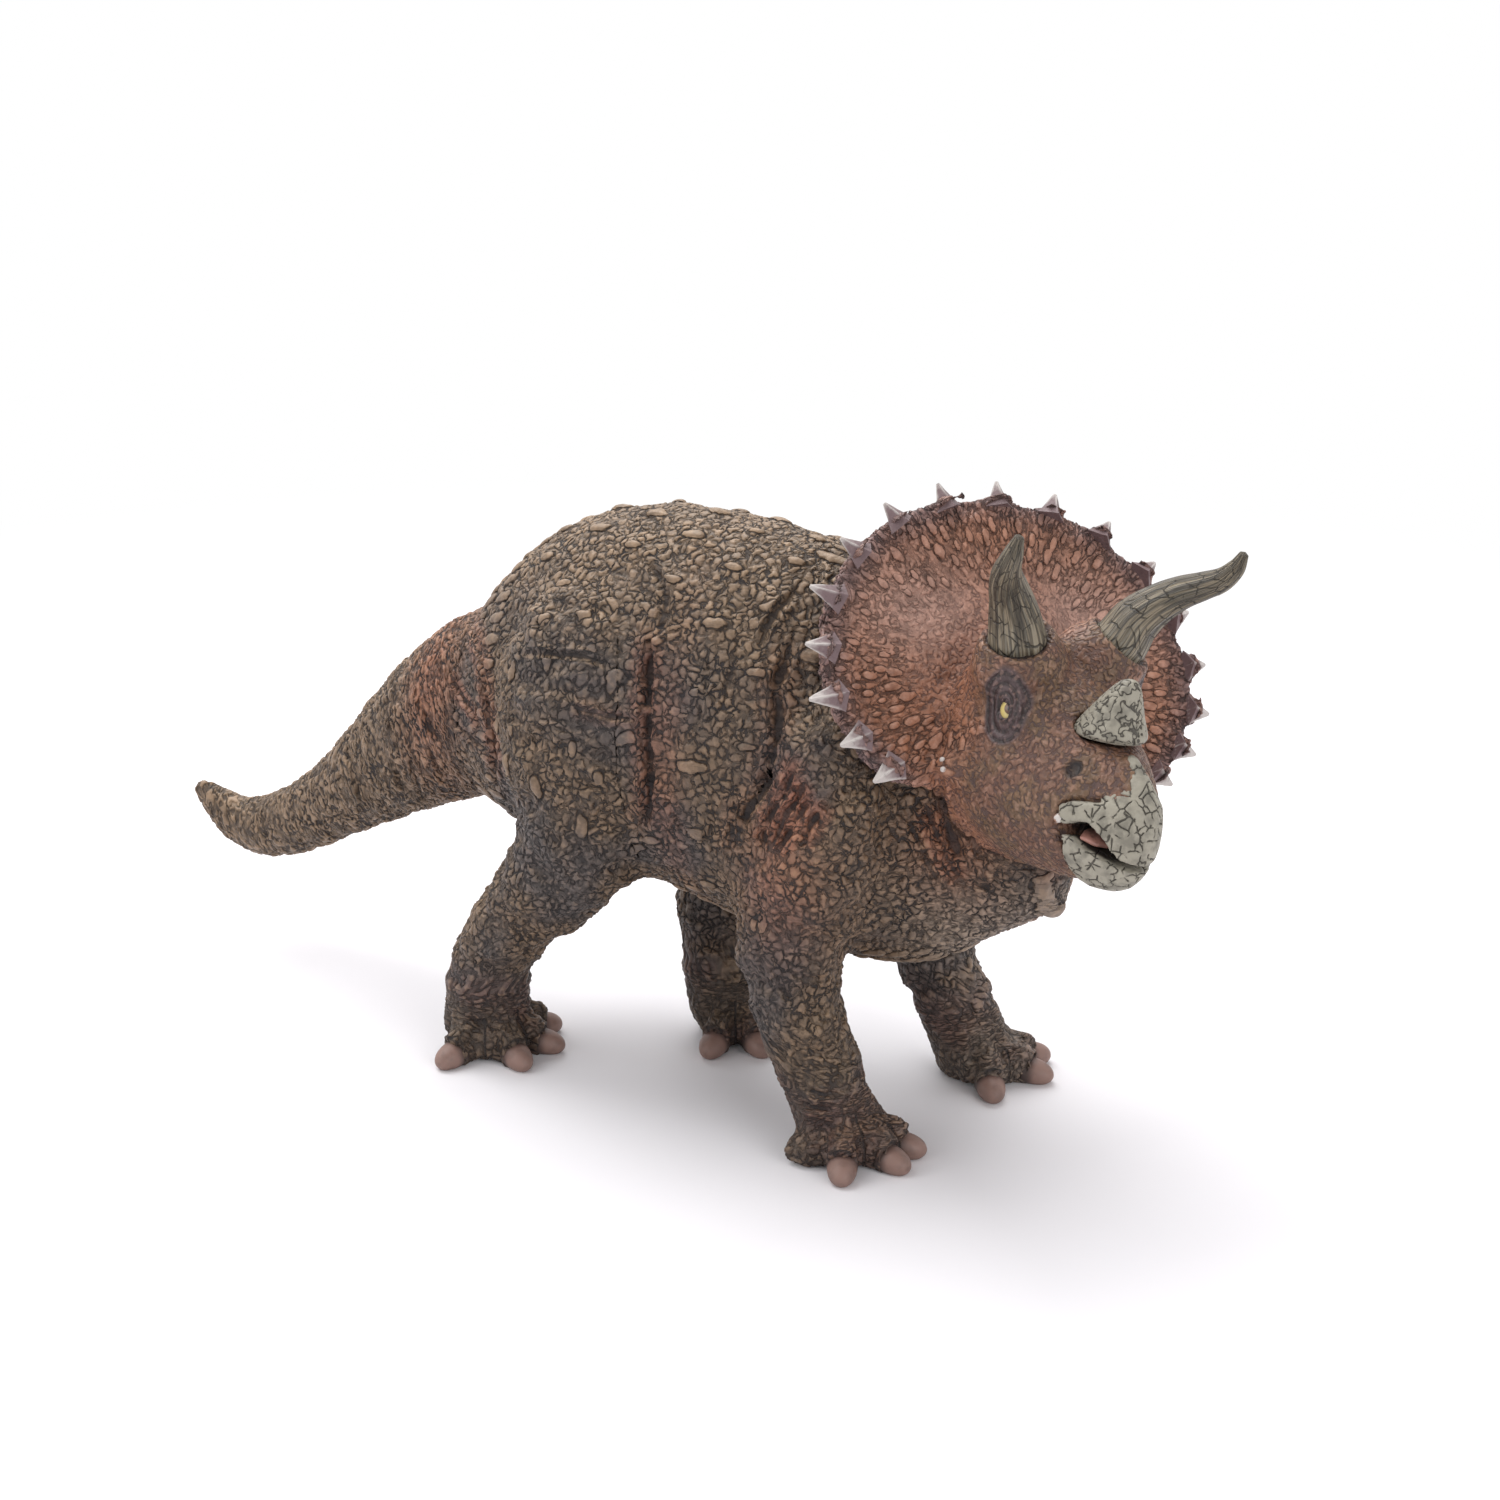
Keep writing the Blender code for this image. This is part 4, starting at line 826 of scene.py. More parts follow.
def swell(skin, centre, radius, height):
    """Raises or presses a soft round place."""
    away = np.linalg.norm(skin.points - np.array(centre), axis=1) / radius
    skin.points += skin.facing * (height * np.exp(-(away**2)))[:, None]


def temple(points, zone):
    """Where the skull runs out into the frill and is rounded off."""
    local = to_head(points)
    share, turn, _, over = frill_share(local)
    mask = zone * step(over, -0.0005, 0.0010) * (1.0 - step(over, 0.0090, 0.0130))
    mask *= (1.0 - step(share, 0.70, 0.86)) * (1.0 - step(local[:, 0], 0.0105, 0.0150))
    return mask * (1.0 - step(np.abs(turn), 2.1, 2.4))


def sculpt_head(skin, obj, zone):
    """Eye sockets, nostrils, frill dish and knobs under the spikes."""
    local = to_head(skin.points)
    share, turn, reach, over = frill_share(local)
    sheet = zone * step(share, 0.42, 0.62) * (1.0 - step(over, 0.006, 0.012))
    sheet *= 1.0 - step(np.abs(turn), 2.20, 2.42)
    # The solid's own spikes are drawn in, as each gets a modelled scute over it
    edge = zone * (1.0 - step(np.abs(turn), 2.20, 2.42)) * (1.0 - step(over, 0.0100, 0.0130))
    beyond = np.maximum(reach - rim_distance(turn) + 0.0014, 0.0) * edge
    away = local - np.array(FRILL_CENTRE)
    away -= over[:, None] * np.array(FRILL_FORWARD)
    away /= np.maximum(np.linalg.norm(away, axis=1, keepdims=True), 1e-6)
    skin.points -= (away * (0.92 * beyond)[:, None]) @ HEAD_TURN.T
    skin.smooth(0.6 * edge * step(share, 0.93, 0.97), 8)
    front = step(skin.facing @ SHEET_FRONT, 0.0, 0.4)
    skin.sheet = sheet
    skin.rim = sheet * step(share, 0.76, 0.97)
    # A shallow wave across the sheet makes the ribs that run out to the spikes
    wave = np.cos(turn / FRILL_SPREAD * (SPIKE_COUNT - 1) * math.pi / 1.97)
    skin.points += skin.facing * (sheet * front * 0.00025 * wave * step(share, 0.6, 0.95))[:, None]
    dish = on_skin(obj, DISH_SPOT)
    skin.dish = np.zeros(len(skin.points))
    if dish:
        spot = HEAD.inverted() @ dish
        for sign in SIDES.values():
            centre = np.array((spot.x, sign * abs(spot.y), spot.z))
            away = (local - centre) / np.array((0.013, 0.0140, 0.0085))
            pressed = np.exp(-(np.linalg.norm(away, axis=1) ** 2)) * front * zone
            skin.points -= skin.facing * (pressed * 0.0016)[:, None]
            skin.dish = np.maximum(skin.dish, pressed)
    skin.pit = np.zeros(len(skin.points))
    skin.orbit = np.full(len(skin.points), 3.0)
    for sign in SIDES.values():
        place = np.array((EYE_PLACE[0] - 0.0004, sign * EYE_PLACE[1], EYE_PLACE[2]))
        away = local - place
        plane = np.array(((0.884, -0.468 * sign, 0.0), (-0.118, -0.223 * sign, 0.968)))
        across, upward = plane @ away.T
        outward = away @ np.array((0.453, 0.856 * sign, 0.252))
        flat = np.hypot(across / 0.0044, upward / 0.0060)
        near = (zone > 0.3) & (np.abs(outward) < 0.0045)
        skin.orbit = np.where(near, np.minimum(skin.orbit, flat), skin.orbit)
        dent = near * (1.0 - step(flat, 0.7, 1.15))
        skin.points -= skin.facing * (dent * 0.00035)[:, None]
        hole = np.hypot(away[:, 0] - 0.0004, away[:, 2]) / 0.0016
        skin.points -= skin.facing * (near * (1.0 - step(hole, 0.6, 1.2)) * 0.0012)[:, None]
        place = np.array((NOSTRIL_PLACE[0], sign * NOSTRIL_PLACE[1], NOSTRIL_PLACE[2]))
        away = (local - place) / np.array((0.0012, 0.0030, 0.0016))
        away = np.linalg.norm(away, axis=1)
        # The nostril's hollow is painted with shade
        skin.pit = np.maximum(skin.pit, zone * (1.0 - step(away, 0.7, 1.15)))
        skin.points -= skin.facing * (zone * (1.0 - step(away, 0.4, 1.2)) * 0.0007)[:, None]
        # A collar of skin stands round the foot of each horn
        base = np.array((HORN_BASE[0], sign * HORN_BASE[1], HORN_BASE[2]))
        start, first = HORN_SHARES[1], HORN_SHARES[2]
        axis = np.array([(b - a) * size for a, b, size in zip(start, first, HORN_STEP)])
        axis[1] *= sign
        axis /= np.linalg.norm(axis)
        away = local - base
        run = away @ axis
        reach = np.linalg.norm(away - run[:, None] * axis, axis=1)
        near = zone * (np.abs(run) < 0.008)
        ring = near * np.exp(-(((reach - 0.0060) / 0.0008) ** 2))
        moat = near * np.exp(-(((reach - 0.0078) / 0.0008) ** 2))
        skin.points += ((0.0010 * ring - 0.0002 * moat)[:, None] * axis) @ HEAD_TURN.T
        # Inside the collar, where the horn sits, the skin is painted with shade
        skin.pit = np.maximum(skin.pit, near * (1.0 - step(reach, 0.0049, 0.0055)) * 0.9)
    # The corner of the mouth behind the beak is painted with shade
    away = (local - np.array((0.0350, 0.0, -0.0012))) / np.array((0.0050, 0.0080, 0.0022))
    away = np.linalg.norm(away, axis=1)
    skin.pit = np.maximum(skin.pit, zone * (1.0 - step(away, 0.8, 1.1)))


def nail_frames(node):
    """Middle and heading of every nail of a foot."""
    x, y, heading, turns = FEET[node]
    middle = Vector((x, y, 0.0)) + FIGURE_SHIFT
    for turn in turns:
        angle = math.radians(heading + turn)
        reach = Vector((math.cos(angle), math.sin(angle), 0.0))
        yield middle + reach * NAIL_REACH + Vector((0.0, 0.0, NAIL_RISE)), angle


def sculpt_feet(skin):
    """Toes that part from each other, each with a seat for its nail and a raised cuticle."""
    for node, (x, y, heading, turns) in FEET.items():
        middle = np.array((x + FIGURE_SHIFT.x, y + FIGURE_SHIFT.y))
        away = skin.points[:, :2] - middle
        reach = np.linalg.norm(away, axis=1)
        angle = np.degrees(np.arctan2(away[:, 1], away[:, 0]))
        apart = [np.abs((angle - heading - turn + 180.0) % 360.0 - 180.0) for turn in turns]
        # The outline of the foot near the floor is led to that of its toes
        low = (reach < FOOT_REACH) & (skin.points[:, 2] < 0.0050)
        sector = (angle // (360.0 / FOOT_SECTORS)).astype(int) % FOOT_SECTORS
        outline = np.full(FOOT_SECTORS, 0.006)
        np.maximum.at(outline, sector[low], reach[low])
        outline = (outline + np.roll(outline, 1) + np.roll(outline, -1)) / 3.0
        middles = (np.arange(FOOT_SECTORS) + 0.5) * (360.0 / FOOT_SECTORS)
        current = np.interp(angle % 360.0, middles, outline, period=360.0)
        toe = np.exp(-((np.min(apart, axis=0) / TOE_HALF_ANGLE) ** 4))
        wanted = SOLE_REACH + TOE_REACH * toe
        fade = (reach < FOOT_REACH) * (1.0 - step(skin.points[:, 2], 0.0050, 0.0115))
        ahead = 1.0 - step(np.min(apart, axis=0), 30.0, 48.0)
        share = 1.0 + (wanted / current - 1.0) * fade * ahead
        skin.points[:, :2] = middle + away * share[:, None]
        # Creases part the toes
        for a, b in zip(turns, turns[1:]):
            if abs(a - b) < 75.0:
                aside = np.abs((angle - heading - (a + b) / 2 + 180.0) % 360.0 - 180.0)
                slit = np.where(fade > 0.25, np.radians(aside) * reach / 0.0005, 4.0)
                skin.slit = np.minimum(skin.slit, slit)
    for node in FEET:
        for centre, angle in nail_frames(node):
            away = skin.points - np.array(centre)
            turn = np.array(((math.cos(angle), math.sin(angle)), (-math.sin(angle), math.cos(angle))))
            flat = away[:, :2] @ turn.T
            inside = np.sqrt(
                (flat[:, 0] / 0.0032) ** 2 + (flat[:, 1] / 0.0030) ** 2 + (away[:, 2] / 0.0030) ** 2
            )
            ahead = step(flat[:, 0], -0.0018, -0.0004)
            sunk = (1.0 - step(inside, 0.95, 1.25)) * ahead
            back = np.exp(-(((flat[:, 0] + 0.0016) / 0.0011) ** 2))
            ring = (1.0 - step(inside, 1.10, 1.45)) * back
            skin.points += skin.facing * (ring * 0.0006 - sunk * 0.0011)[:, None]
            slit = np.where(inside < 1.35, np.abs(flat[:, 0] + 0.0004) / 0.0004, 4.0)
            skin.slit = np.minimum(skin.slit, slit)


def raised_corners(names):
    """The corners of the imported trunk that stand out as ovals, away from the other solids."""
    copy = cad_copy("trunk")
    others = distances(copy, [name for name in names if name != "trunk"]).min(axis=0)
    mesh = copy.data
    points = values_of(mesh, "position", 3)
    ends = np.empty(len(mesh.edges) * 2, np.int32)
    mesh.edges.foreach_get("vertices", ends)
    start, end = ends.reshape(-1, 2).T
    start, end = np.concatenate([start, end]), np.concatenate([end, start])
    valence = np.maximum(np.bincount(start, minlength=len(points)), 1)
    mean = [np.bincount(start, column[end], len(points)) / valence for column in points.T]
    normals = np.empty(len(points) * 3, np.float32)
    mesh.vertex_normals.foreach_get("vector", normals)
    stand = np.einsum("ij,ij->i", points - np.stack(mean, axis=1), normals.reshape(-1, 3))
    chosen = points[(stand > 0.00033) & (stand < 0.0015) & (others > 0.0030)]
    bpy.data.objects.remove(copy)
    marks = bpy.data.meshes.new("raised_corners")
    marks.from_pydata(chosen.tolist(), [], [])
    return link("raised_corners", marks)


def wrap_values(skin, near, names):
    """Everything that the relief and the paint read from the skin."""
    points, facing = skin.points, skin.facing
    settings = sizes()
    order = {name: i for i, name in enumerate(names)}
    weights = np.exp(-(near - near.min(axis=0)) / 0.0012)
    weights /= weights.sum(axis=0)
    head = weights[order["head"]]
    tail = weights[order["tail"]]
    legs = sum(weights[order[name]] for name in FEET)
    trunk = weights[order["trunk"]]
    x, _, z = (points - np.array(FIGURE_SHIFT)).T
    local = to_head(points)
    share, turn, reach, over = frill_share(local)
    cells = points / settings.scale_size
    # Scales of the frill grow outwards and are drawn out towards the rim
    grown = 0.030 * (np.maximum(reach, 0.001) / 0.030) ** 0.62 / (settings.scale_size * 0.92)
    polar = [over / settings.scale_size, grown * np.sin(turn), grown * np.cos(turn)]
    polar = np.stack(polar, axis=1)
    on_frill = step(head, 0.47, 0.53)[:, None]
    cells = cells * (1.0 - on_frill) + polar * on_frill
    # Strokes are drawn out across the tail, round the ankles and along the frill
    long, short = settings.stroke_length, settings.stroke_width
    tailward = np.array((-0.93, 0.0, -0.36))
    ankle = legs * np.exp(-(((z - 0.0135) / 0.0065) ** 2))
    face = head * (1.0 - skin.sheet)
    base = points / long
    squeeze = 1.0 / short - 1.0 / long
    strokes = base + (tail * (points @ tailward) * squeeze)[:, None] * tailward
    strokes += (ankle * points[:, 2] * squeeze)[:, None] * np.array((0.0, 0.0, 1.0))
    open_hide = np.clip((trunk + legs - ankle), 0.0, 1.0)[:, None]
    strokes = strokes * (1.0 - open_hide) + points / (0.5 * (long + short)) * open_hide
    strokes = strokes * (1.0 - on_frill) + polar * 1.5 * on_frill
    spikes = spike_places()
    to_spike = np.min([np.linalg.norm(points - place, axis=1) for place in spikes], axis=0)
    at_spike = 1.0 - step(to_spike, 0.0020, 0.0042)
    along = np.where(skin.sheet > 0.5, to_spike * 1.2, np.where(tail > 0.5, -x - 0.35 * z, z))
    # The pale throat zone reaches over the front of the chest as a painted highlight
    throat = (1.0 - head) * step(x, 0.036, 0.054) * (1.0 - step(z, 0.040, 0.060))
    tail_tip = tail * step(-x, 0.092, 0.118)
    foot = legs * (1.0 - step(z, 0.008, 0.024))
    worm = 0.85 * tail + 0.25 * legs + 0.55 * ankle + 0.35 * throat + face
    worm += 0.15 * trunk * (1.0 - step(z, 0.045, 0.062)) + 0.10 * trunk * step(z, 0.088, 0.1)
    worm = worm * (1.0 - skin.sheet) + 0.30 * skin.sheet + skin.dish + 1.2 * skin.rim
    rings = 0.8 * tail + 0.8 * ankle + 1.1 * skin.rim + 0.3 * tail_tip
    rings += trunk * (0.15 + 0.4 * step(x, 0.02, 0.05))
    up = facing[:, 2]
    thigh = weights[order["rear_leg_right"]] + weights[order["rear_leg_left"]]
    boss = thigh * step(z, 0.046, 0.058) * (skin.slit > 1.6)
    plates = skin.sheet * step(share, 0.50, 0.60) * (1.0 - step(share, 0.84, 0.93))
    plates *= 1.0 - step(skin.dish, 0.2, 0.5)
    upright = np.clip(thigh * step(-up, -0.75, -0.45), 0.0, 1.0)
    run = [1.0 - upright, np.zeros(len(points)), upright + 0.12 * (1.0 - upright)]
    run = np.stack(run, axis=1)
    sideways, upward = HEAD_TURN[:, 1], HEAD_TURN @ np.array(FRILL_UP)
    outward = np.sin(turn)[:, None] * sideways + np.cos(turn)[:, None] * upward
    run = np.where(skin.sheet[:, None] > 0.5, outward, run)
    # Reddish paint lies where tail, thigh, shoulder and neck fold against the body
    hot = skin.warmth * 0.9
    for centre_x, centre_z, wide, high, strength in BLUSH_PLACES:
        patch = np.exp(-(((x - centre_x) / wide) ** 2 + ((z - centre_z) / high) ** 2))
        hot = np.maximum(hot, strength * patch * (1.0 - head))
    return {
        "rest": points,
        "rest_normal": facing,
        "cells": cells,
        "strokes": strokes,
        "worm": np.clip(worm, 0.0, 1.0),
        "face": face,
        "along": along,
        "rings": np.clip(rings, 0.0, 1.2),
        "boss_zone": np.clip(boss, 0.0, 1.0),
        "plate_zone": np.clip(plates, 0.0, 1.0),
        "run": run,
        "slit": np.clip(skin.slit, 0.0, 4.0),
        "blush": np.clip(hot, 0.0, 1.0),
        "sheet": skin.sheet,
        "amber": np.maximum(skin.sheet, head * (1.0 - step(local[:, 0], 0.0070, 0.0165))),
        "rim": skin.rim,
        "dish": skin.dish,
        "orbit": skin.orbit,
        "pit": skin.pit,
        "throat": throat,
        "tail": tail,
        "legs": legs,
        "foot": foot,
        "smooth": np.clip(0.35 * tail_tip + 0.5 * skin.dish + 0.7 * at_spike + 0.3 * foot, 0.0, 1.0),
    }


def skin_relief(web, oval=None):
    """Height of the skin's relief in metres, its grooves, crests, ovals and a scale's tone."""
    settings = sizes()
    rest = web.attribute("rest", "FLOAT_VECTOR")
    normal = web.attribute("rest_normal", "FLOAT_VECTOR")
    worm = web.attribute("worm")
    face = web.attribute("face")
    rings = web.attribute("rings")
    keep = web.math("SUBTRACT", 1.0, web.attribute("smooth"))
    # Cobbles of uneven outline, some of them grown together
    place = web.shift(web.attribute("cells", "FLOAT_VECTOR"), 1.5, 0.42)
    place = web.shift(place, 0.8, 1.6)
    edge, tone = web.cells(place, normal, 1.0)
    kind = "ShaderNodeSeparateColor" if web.shading else "FunctionNodeSeparateColor"
    parts = web.add(kind, {"Color": tone})
    tall = web.step(parts.outputs[1], 0.0, 1.0, 0.62, 1.0)
    dome = web.step(edge, 0.0, 0.34)
    joined = web.step(web.noise(place, 1.1, 1.0), 0.40, 0.52, 0.25, 1.0)
    groove = web.math("SUBTRACT", 1.0, web.step(edge, 0.045, 0.16))
    groove = web.math("MULTIPLY", groove, joined)
    # Short winding strokes, as of a modelling tool
    fine = web.vector("SCALE", rest, 1.0 / settings.fine_size)
    from_line = []
    for place in (web.attribute("strokes", "FLOAT_VECTOR"), fine):
        marks = web.noise(web.shift(place, 0.7, 0.8), 1.0, 1.0)
        from_line.append(web.math("ABSOLUTE", web.math("SUBTRACT", marks, 0.5)))
    from_line = web.blend(*from_line, face)
    some = web.step(web.noise(web.attribute("strokes", "FLOAT_VECTOR"), 0.75, 1.0), 0.36, 0.50)
    stroke = web.math("MULTIPLY", web.step(from_line, 0.070, 0.028), some)
    swelling = web.step(from_line, 0.02, 0.15)
    share = web.math("ADD", worm, web.step(web.noise(rest, 170.0, 1.0), 0.3, 0.7, -0.35, 0.35))
    share = web.step(share, 0.15, 0.85)
    groove = web.blend(groove, stroke, share)
    crest = web.blend(web.math("MULTIPLY", dome, tall), swelling, share)
    groove = web.math("MULTIPLY", groove, keep)
    # Long wrinkles round tail, ankles and rim
    stretched = web.vector("SCALE", rest, 150.0)
    across = web.add(
        "ShaderNodeCombineXYZ", {"Z": web.math("MULTIPLY", web.attribute("along"), 900.0)}
    )
    ring_noise = web.noise(web.vector("ADD", stretched, across.outputs[0]), 1.0, 2.0)
    line = web.math("ABSOLUTE", web.math("SUBTRACT", ring_noise, 0.5))
    line = web.math("SUBTRACT", 1.0, web.step(line, 0.006, 0.040))
    broken = web.step(web.noise(rest, 260.0, 1.0), 0.44, 0.54)
    line = web.math("MULTIPLY", web.math("MULTIPLY", line, rings), broken)
    oval = oval or web.attribute("oval")
    inside = web.math("SUBTRACT", 1.0, web.step(oval, 0.84, 1.02))
    moat = web.math("MULTIPLY", web.step(oval, 0.90, 1.04), web.step(oval, 1.30, 1.10))
    outside = web.math("SUBTRACT", 1.0, inside)
    slit = web.math("SUBTRACT", 1.0, web.step(web.attribute("slit"), 0.20, 0.85))
    depth = web.blend(settings.scale_depth, settings.scale_depth * 0.30, face)
    low = web.math("MULTIPLY", web.math("SUBTRACT", crest, 1.0), depth)
    low = web.math("MULTIPLY", web.math("MULTIPLY", low, outside), keep)
    knob = web.math("MULTIPLY", web.step(oval, 1.05, 0.25), settings.boss_height)
    dips = web.math("MULTIPLY", line, -settings.wrinkle_depth)
    ditch = web.math("MULTIPLY", moat, -0.4 * settings.scale_depth)
    height = web.math("ADD", web.math("ADD", low, knob), web.math("ADD", dips, ditch))
    dark = web.math("MAXIMUM", web.math("MULTIPLY", groove, outside), moat)
    dark = web.math("MAXIMUM", web.math("MAXIMUM", dark, line), slit)
    crest = web.math("MAXIMUM", web.math("MULTIPLY", crest, outside), inside)
    return height, dark, crest, inside, parts.outputs[0]


def relief_tree(material, corners):
    """Scales, strokes and raised ovals pressed into the skin."""
    settings = sizes()
    inputs = {
        "Spacing": settings.boss_spacing,
        "Plate spacing": settings.plate_spacing,
        "Length": settings.boss_length,
        "Width": settings.boss_width,
        "Seed": settings.seed,
        "Paint": material,
    }
    tree, web, group_in, group_out = new_geometry_tree("Skin relief", inputs)
    skin = group_in.outputs["Geometry"]
    rest = web.attribute("rest", "FLOAT_VECTOR")
    normal = web.attribute("rest_normal", "FLOAT_VECTOR")
    spots = web.add("GeometryNodeJoinGeometry")
    for zone, spacing, density in (
        ("plate_zone", "Plate spacing", 2000000.0),
        ("boss_zone", "Spacing", 90000.0),
    ):
        scatter = web.add("GeometryNodeDistributePointsOnFaces", distribute_method="POISSON")
        web.feed(scatter.inputs["Mesh"], skin)
        web.feed(scatter.inputs["Distance Min"], group_in.outputs[spacing])
        scatter.inputs["Density Max"].default_value = density
        web.feed(scatter.inputs["Density Factor"], web.attribute(zone))
        web.feed(scatter.inputs["Seed"], group_in.outputs["Seed"])
        tree.links.new(scatter.outputs["Points"], spots.inputs[0])
    source = web.add("GeometryNodeObjectInfo", {"Object": corners})
    given = web.add("GeometryNodeMeshToPoints", {"Mesh": source.outputs["Geometry"]})
    tree.links.new(given.outputs[0], spots.inputs[0])
    near = web.add("GeometryNodeSampleNearest")
    web.feed(near.inputs["Geometry"], spots.outputs[0])
    web.feed(near.inputs["Sample Position"], rest)
    spot = web.add("GeometryNodeSampleIndex", data_type="FLOAT_VECTOR")
    web.feed(spot.inputs["Geometry"], spots.outputs[0])
    web.feed(spot.inputs["Value"], web.add("GeometryNodeInputPosition").outputs[0])
    web.feed(spot.inputs["Index"], near.outputs[0])
    away = web.vector("SUBTRACT", rest, spot.outputs[0])
    run = web.attribute("run", "FLOAT_VECTOR")
    side = web.vector("NORMALIZE", web.vector("CROSS_PRODUCT", normal, run))
    ahead = web.vector("CROSS_PRODUCT", side, normal)
    size = web.add("FunctionNodeRandomValue", data_type="FLOAT")
    web.feed(size.inputs[2], 0.62)
    web.feed(size.inputs[3], 1.10)
    web.feed(size.inputs["ID"], near.outputs[0])
    smaller = web.step(web.attribute("sheet"), 0.3, 0.7, 1.0, 0.66)
    reach = web.math("MULTIPLY", size.outputs[1], smaller)
    shares = []
    for direction, label in ((ahead, "Length"), (side, "Width")):
        part = web.vector("DOT_PRODUCT", away, direction)
        half = web.math("MULTIPLY", group_in.outputs[label], 0.5)
        part = web.math("DIVIDE", part, web.math("MULTIPLY", half, reach))
        shares.append(web.math("MULTIPLY", part, part))
    oval = web.math("SQRT", web.math("ADD", *shares))
    # The outline wanders a little, and a patch with no ovals near it is left alone
    wander = web.step(web.noise(rest, 600.0, 1.0), 0.3, 0.7, -0.16, 0.16)
    far = web.math("MULTIPLY", web.step(web.vector("LENGTH", away), 0.004, 0.005), 9.0)
    far = web.math("ADD", far, web.step(web.attribute("slit"), 2.2, 1.4, 0.0, 9.0))
    oval = web.math("ADD", web.math("ADD", oval, wander), far)
    height = skin_relief(web, oval)[0]
    moved = web.add("GeometryNodeSetPosition")
    web.feed(moved.inputs["Geometry"], store(web, skin, "oval", oval))
    web.feed(moved.inputs["Offset"], web.vector("SCALE", normal, height))
    finished(web, moved.outputs[0], group_in.outputs["Paint"], group_out)
    return tree, inputs


def border_loops(faces):
    """Closed chains of the open edges of some faces, each against the faces' own turn."""
    start = faces.ravel()
    end = np.roll(faces, -1, axis=1).ravel()
    there = set(zip(start.tolist(), end.tolist()))
    follow = {}
    for a, b in there:
        if (b, a) not in there:
            follow.setdefault(b, []).append(a)
    loops = []
    while follow:
        first = next(iter(follow))
        loop, at = [first], first
        while True:
            after = follow[at].pop()
            if not follow[at]:
                del follow[at]
            if after == first:
                break
            loop.append(after)
            at = after
            if at not in follow:
                break
        loops.append(loop)
    return loops


def part_skin(points, faces, facing, labels, values, which):
    """One closed piece of the skin: the faces of one label, with a cap on each opening."""
    chosen = faces[(labels[faces] == which).sum(axis=1) > 2]
    triangles, extra = [], []
    for loop in border_loops(chosen):
        if len(loop) < 3:
            continue
        middle = points[loop].mean(axis=0) - facing[loop].mean(axis=0) * 0.002
        tip = len(points) + len(extra)
        extra.append((middle, loop))
        for a, b in zip(loop, [*loop[1:], loop[0]]):
            triangles.append((a, b, tip))
    triangles = np.array(triangles or np.zeros((0, 3)), np.int64)
    used = np.unique(np.concatenate([chosen.ravel(), triangles.ravel()]))
    index = np.full(len(points) + len(extra), -1)
    index[used] = np.arange(len(used))

    def with_tips(entries):
        tips = [entries[loop].mean(axis=0) for _, loop in extra]
        return np.concatenate([entries, np.array(tips)]) if tips else entries

    all_points = np.concatenate([points, np.array([m for m, _ in extra])]) if extra else points
    kept = {name: with_tips(entries)[used] for name, entries in values.items()}
    kept_facing = with_tips(facing)[used]
    return all_points[used], index[chosen], index[triangles], kept, kept_facing


def bump(web, shader, height):
    """Small relief, in metres, that only the shading shows."""
    node = web.add("ShaderNodeBump", {"Height": height})
    node.inputs["Distance"].default_value = 1.0
    node.inputs["Strength"].default_value = 1.0
    web.feed(shader.inputs["Normal"], node.outputs[0])


